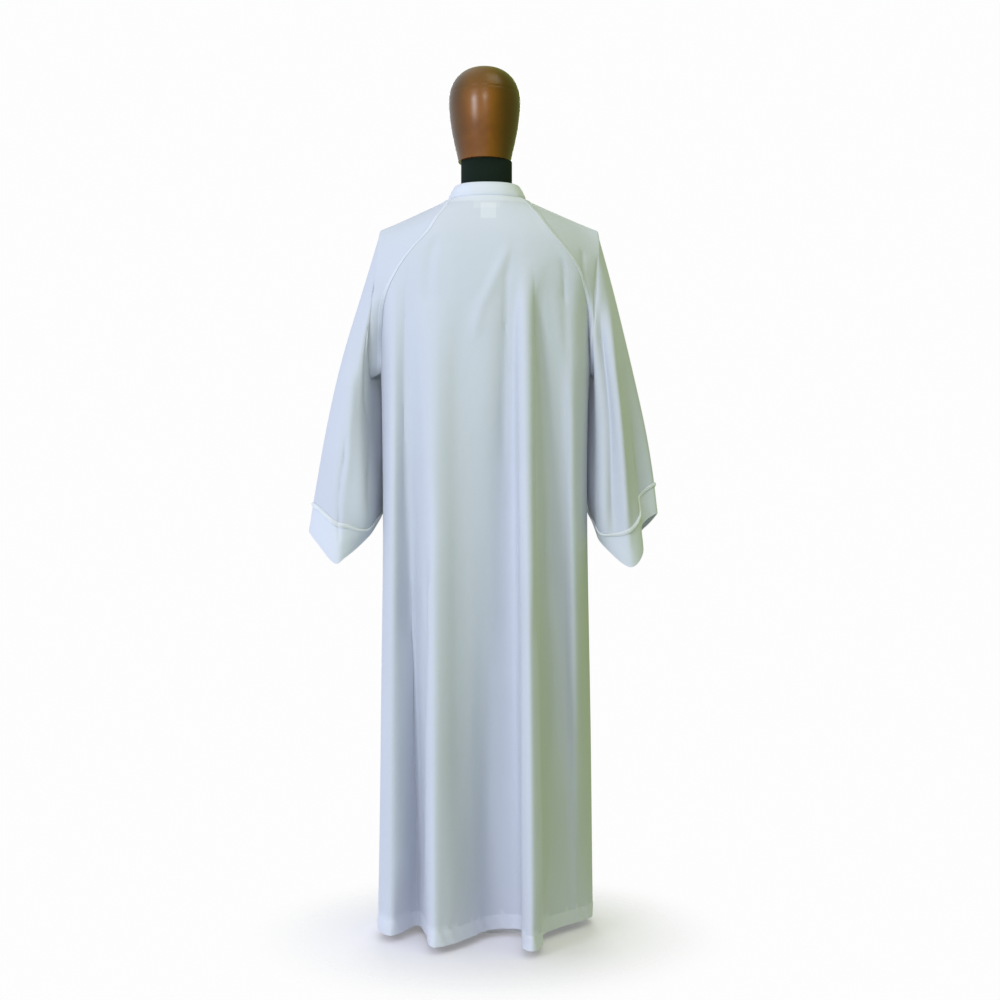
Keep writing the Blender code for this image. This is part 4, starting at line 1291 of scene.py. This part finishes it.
def plait_paths(cuff):
    """Strands that plait along a cuff's seam."""
    top, low = [row_path(cuff, r, PLAIT_LIFT)[0] for r in (0, PLAIT_LOW_ROW)]
    top.append(top[0])
    low.append(low[0])
    ahead = top[1:] + top[1:2]
    runs = running(top)
    count = round(runs[-1] / PLAIT_PITCH) * PLAIT_STEPS
    strands = []
    for strand in range(PLAIT_STRANDS):
        path = []
        for i in range(count):
            at = runs[-1] * i / count
            upper = straight(runs, top, at)
            lower = straight(runs, low, at)
            phase = 2 * math.pi * (i / PLAIT_STEPS + strand / PLAIT_STRANDS)
            middle = upper.lerp(lower, 0.5 + PLAIT_SWING * math.sin(phase))
            out = (lower - upper).cross(straight(runs, ahead, at) - upper).normalized()
            path.append(middle + out * (PLAIT_RISE * math.cos(2 * phase)))
        strands.append((path, True))
    return strands


def flat_side(offset):
    """A wall's side at one offset all over."""
    return lambda r, c: offset


def raised(r, c):
    """Outer side of a sleeve, raised over the lapped seam's double cloth."""
    lap = SEAM_RAISE if r in SEAM_STRIP_ROWS else 0.0
    return lap * ease(abs(c - NECK_EDGE_COLUMNS - YOKE_ROWS) / UNLAPPED_COLUMNS)


def body_inside(r, c):
    """Inner side of a body panel, thicker in the hem's double cloth."""
    return -HEM_CLOTH if r > HEM_ROW else -CLOTH


def collar_outside(r, c):
    """Outer side of the collar, with a raised seam band at its foot and a rolled top edge."""
    return COLLAR_OUTER[r] * MM


def double_body(point, r, c):
    """Where a body panel's cloth is doubled: in the hem and along the neck seam."""
    return 1.0 if point.z < HEM_TOP_LEVEL or r <= NECK_STRIP_ROW else 0.0


def double_sleeve(point, r, c):
    """Where a sleeve's cloth is doubled: along the armhole seam."""
    return 1.0 if r <= SEAM_STRIP_ROWS[-1] else 0.0


def build_cloth(pieces):
    """The robe's cloth pieces, each in place of its plain solid."""
    cloth = cloth_finish("white crepe")
    band = woven(Finish("white crepe doubled"), 1.0)
    flat = flat_side(0.0)
    walls = {name: (flat, body_inside, cloth, double_body) for name in PANELS}
    for side in SIDES:
        walls["sleeve_" + side] = (raised, flat_side(-CLOTH), cloth, double_sleeve)
        walls["cuff_" + side] = (flat, flat_side(-CUFF_CLOTH), band)
    walls["collar"] = (collar_outside, flat_side(-COLLAR_CLOTH), band)
    made = {}
    for name, wall in walls.items():
        piece = cloth_wall("cloth_" + name, pieces[name], *wall)
        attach(piece, "root")
        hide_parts(name)
        "cloth" if name in CLOTH_NAMES else "band_cloth"
        made[name] = piece
    return made


def build_braid(pieces):
    """A tape and its plait over each cuff's seam, by the cuff that carries them."""
    finish = thread_finish("white braid", BRAID_TONE, BRAID_TWIST)
    strands = strand_tree(finish)
    made = {}
    for side in SIDES:
        cuff = pieces["cuff_" + side]
        tape = cloth_wall("braid_tape_" + side, cut_piece(cuff, (0, BRAID_LOW_ROW)),
                          flat_side(SEAM_GAP + BRAID_THICK), flat_side(SEAM_GAP), finish)
        plait = run_tree("braid_plait_" + side, plait_paths(cuff), strands,
                         {"Radius": PLAIT_RADIUS}, finish)
        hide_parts("braid_" + side)
        for piece in (tape, plait):
            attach(piece, "root")
        made["cuff_" + side] = [tape, plait]
    return made


def build_labels(back):
    """The blank labels inside the back of the neck."""
    satin = label_finish("blank label satin")
    outer = -CLOTH - SEAM_GAP
    made = []
    for name, (rows, columns) in LABELS.items():
        label = cloth_wall("blank_" + name, cut_piece(back, rows, columns),
                           flat_side(outer), flat_side(outer - LABEL_THICK), satin)
        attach(label, "root")
        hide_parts(name)
        made.append(label)
    return made


def stitch_runs(pieces):
    """Paths of the stitching, by the piece that carries it."""
    runs = {"back_panel": [row_path(pieces["back_panel"], HEM_ROW)]}
    for side in SIDES:
        front = pieces["front_" + side]
        last = len(front["grid"][0]) - 1
        edge = FRONT_EDGE_COLUMN if side == "left" else last - FRONT_EDGE_COLUMN
        runs["front_" + side] = [row_path(front, HEM_ROW), column_path(front, edge)]
        runs["sleeve_" + side] = [row_path(pieces["sleeve_" + side], r, SEAM_RAISE + STITCH_LIFT)
                                  for r in SEAM_STITCH_ROWS]
        runs["cuff_" + side] = [row_path(pieces["cuff_" + side], CUFF_STITCH_ROW)]
    runs["collar"] = [row_path(pieces["collar"], r, collar_outside(r, 0) + STITCH_LIFT)
                      for r in COLLAR_STITCH_ROWS]
    return runs


def build_stitching(pieces, trim):
    """The stitching along the hems, front edges, armhole seams, cuffs and collar."""
    thread = thread_finish("white thread", THREAD_TONE, THREAD_TWIST)
    stitches = stitch_tree(thread)
    for seed, (name, paths) in enumerate(stitch_runs(pieces).items()):
        row = run_tree("stitches_" + name, paths, stitches, {**STITCH_SIZES, "Seed": seed}, thread)
        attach(row, "root")
        "cloth" if name in CLOTH_NAMES else "band_cloth"
        [row] + trim.get(name, [])


def head_points():
    """The head's points: its foot, its rings from the bottom up, and its top."""
    bottom = NECK_TOP_LEVEL + SEAM_GAP
    heights = column(HEAD_PROFILE, 0)
    radii = column(HEAD_PROFILE, 1)
    keys = list(range(len(heights)))
    points = [(HEAD_X, 0.0, bottom)]
    for i in range(HEAD_RINGS):
        at = keys[-1] * i / HEAD_RINGS
        up = bottom + smooth(keys, heights, at) * MM
        radius = max(0.0, smooth(keys, radii, at)) * MM
        radius -= HEAD_SEAM_DEPTH * math.exp(-((up - CROWN_SEAM) / HEAD_SEAM_WIDTH) ** 2)
        for j in range(HEAD_COLUMNS):
            turn = 2 * math.pi * j / HEAD_COLUMNS
            points.append((HEAD_X + radius * math.cos(turn),
                           radius * math.sin(turn) * HEAD_DEPTH, up))
    return points + [(HEAD_X, 0.0, bottom + heights[-1] * MM)]


def build_head():
    """The egg-shaped head, turned from its profile, with the cover's seam round the crown."""
    points = head_points()
    faces = []
    for j in range(HEAD_COLUMNS):
        k = (j + 1) % HEAD_COLUMNS
        faces.append((0, 1 + k, 1 + j))
        for low in range(1, (HEAD_RINGS - 1) * HEAD_COLUMNS, HEAD_COLUMNS):
            high = low + HEAD_COLUMNS
            faces.append((low + j, low + k, high + k, high + j))
        top = 1 + (HEAD_RINGS - 1) * HEAD_COLUMNS
        faces.append((top + j, top + k, len(points) - 1))
    mesh = bpy.data.meshes.new("form_head")
    mesh.from_pydata(points, [], faces)
    head = smooth_object("form_head", mesh, head_finish("brown polished cover"))
    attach(head, "root")
    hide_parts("head")


def finish_form():
    """Better finishes for the form's and the stand's own solids."""
    jersey = jersey_finish("dark jersey")
    paint = paint_finish("white stand paint")
    for name, finish in (("neck", jersey), ("torso", jersey), ("pole", paint), ("foot", paint)):
        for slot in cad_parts[name].material_slots:
            slot.material = finish


def build_world():
    """White to the camera. It lights the robe pale blue from the left and green from the right."""
    world = bpy.data.worlds.new("pale studio")
    world.use_nodes = True
    bpy.context.scene.world = world
    sky = Nodes(world.node_tree)
    towards = sky.node("ShaderNodeVectorMath", {"operation": "DOT_PRODUCT"},
                       {0: sky.node("ShaderNodeTexCoord", out="Generated"),
                        1: WORLD_BRIGHT_SIDE}, out="Value")
    tint = sky.mix(towards.step(*WORLD_TURN), WORLD_DIM, WORLD_BRIGHT)
    light = sky.node("ShaderNodeBackground", {}, {"Color": tint})
    seen = sky.node("ShaderNodeBackground", {}, {"Color": WORLD_SEEN})
    ray = sky.node("ShaderNodeLightPath", out="Is Camera Ray")
    both = sky.node("ShaderNodeMixShader", {}, {0: ray, 1: light, 2: seen})
    sky.feed(sky.tree.nodes["World Output"].inputs["Surface"], both)


def build_stage():
    """Pale floor, soft boxes, the surroundings and the camera."""
    bpy.ops.mesh.primitive_circle_add(vertices=FLOOR_SIDES, radius=FLOOR_RADIUS, fill_type="NGON")
    floor = bpy.context.object
    floor.name = "studio_floor"
    floor.data.materials.append(floor_finish("pale floor"))
    for light in LIGHTS:
        soft_box(*light)
    build_world()
    scene = bpy.context.scene
    camera_data = bpy.data.cameras.new("camera")
    camera_data.lens = CAMERA_LENS
    camera = bpy.data.objects.new("camera", camera_data)
    camera.location = CAMERA_PLACE
    camera.rotation_euler = (math.pi / 2, 0, 0)
    scene.collection.objects.link(camera)
    scene.camera = camera
    scene.view_settings.view_transform = "Standard"


def soft_box(name, place, size, power, colour):
    """A square area light aimed at the robe's middle."""
    data = bpy.data.lights.new(name, "AREA")
    data.shape = "SQUARE"
    data.size = size
    data.energy = power
    data.color = colour
    lamp = bpy.data.objects.new(name, data)
    lamp.location = place
    lamp.rotation_euler = (LIGHT_AIM - Vector(place)).to_track_quat("-Z", "Y").to_euler()
    bpy.context.scene.collection.objects.link(lamp)


pieces = robe_pieces()
made = build_cloth(pieces)
trim = build_braid(pieces)
trim["back_panel"] = build_labels(pieces["back_panel"])
build_stitching(pieces, trim)
build_head()
finish_form()
build_stage()
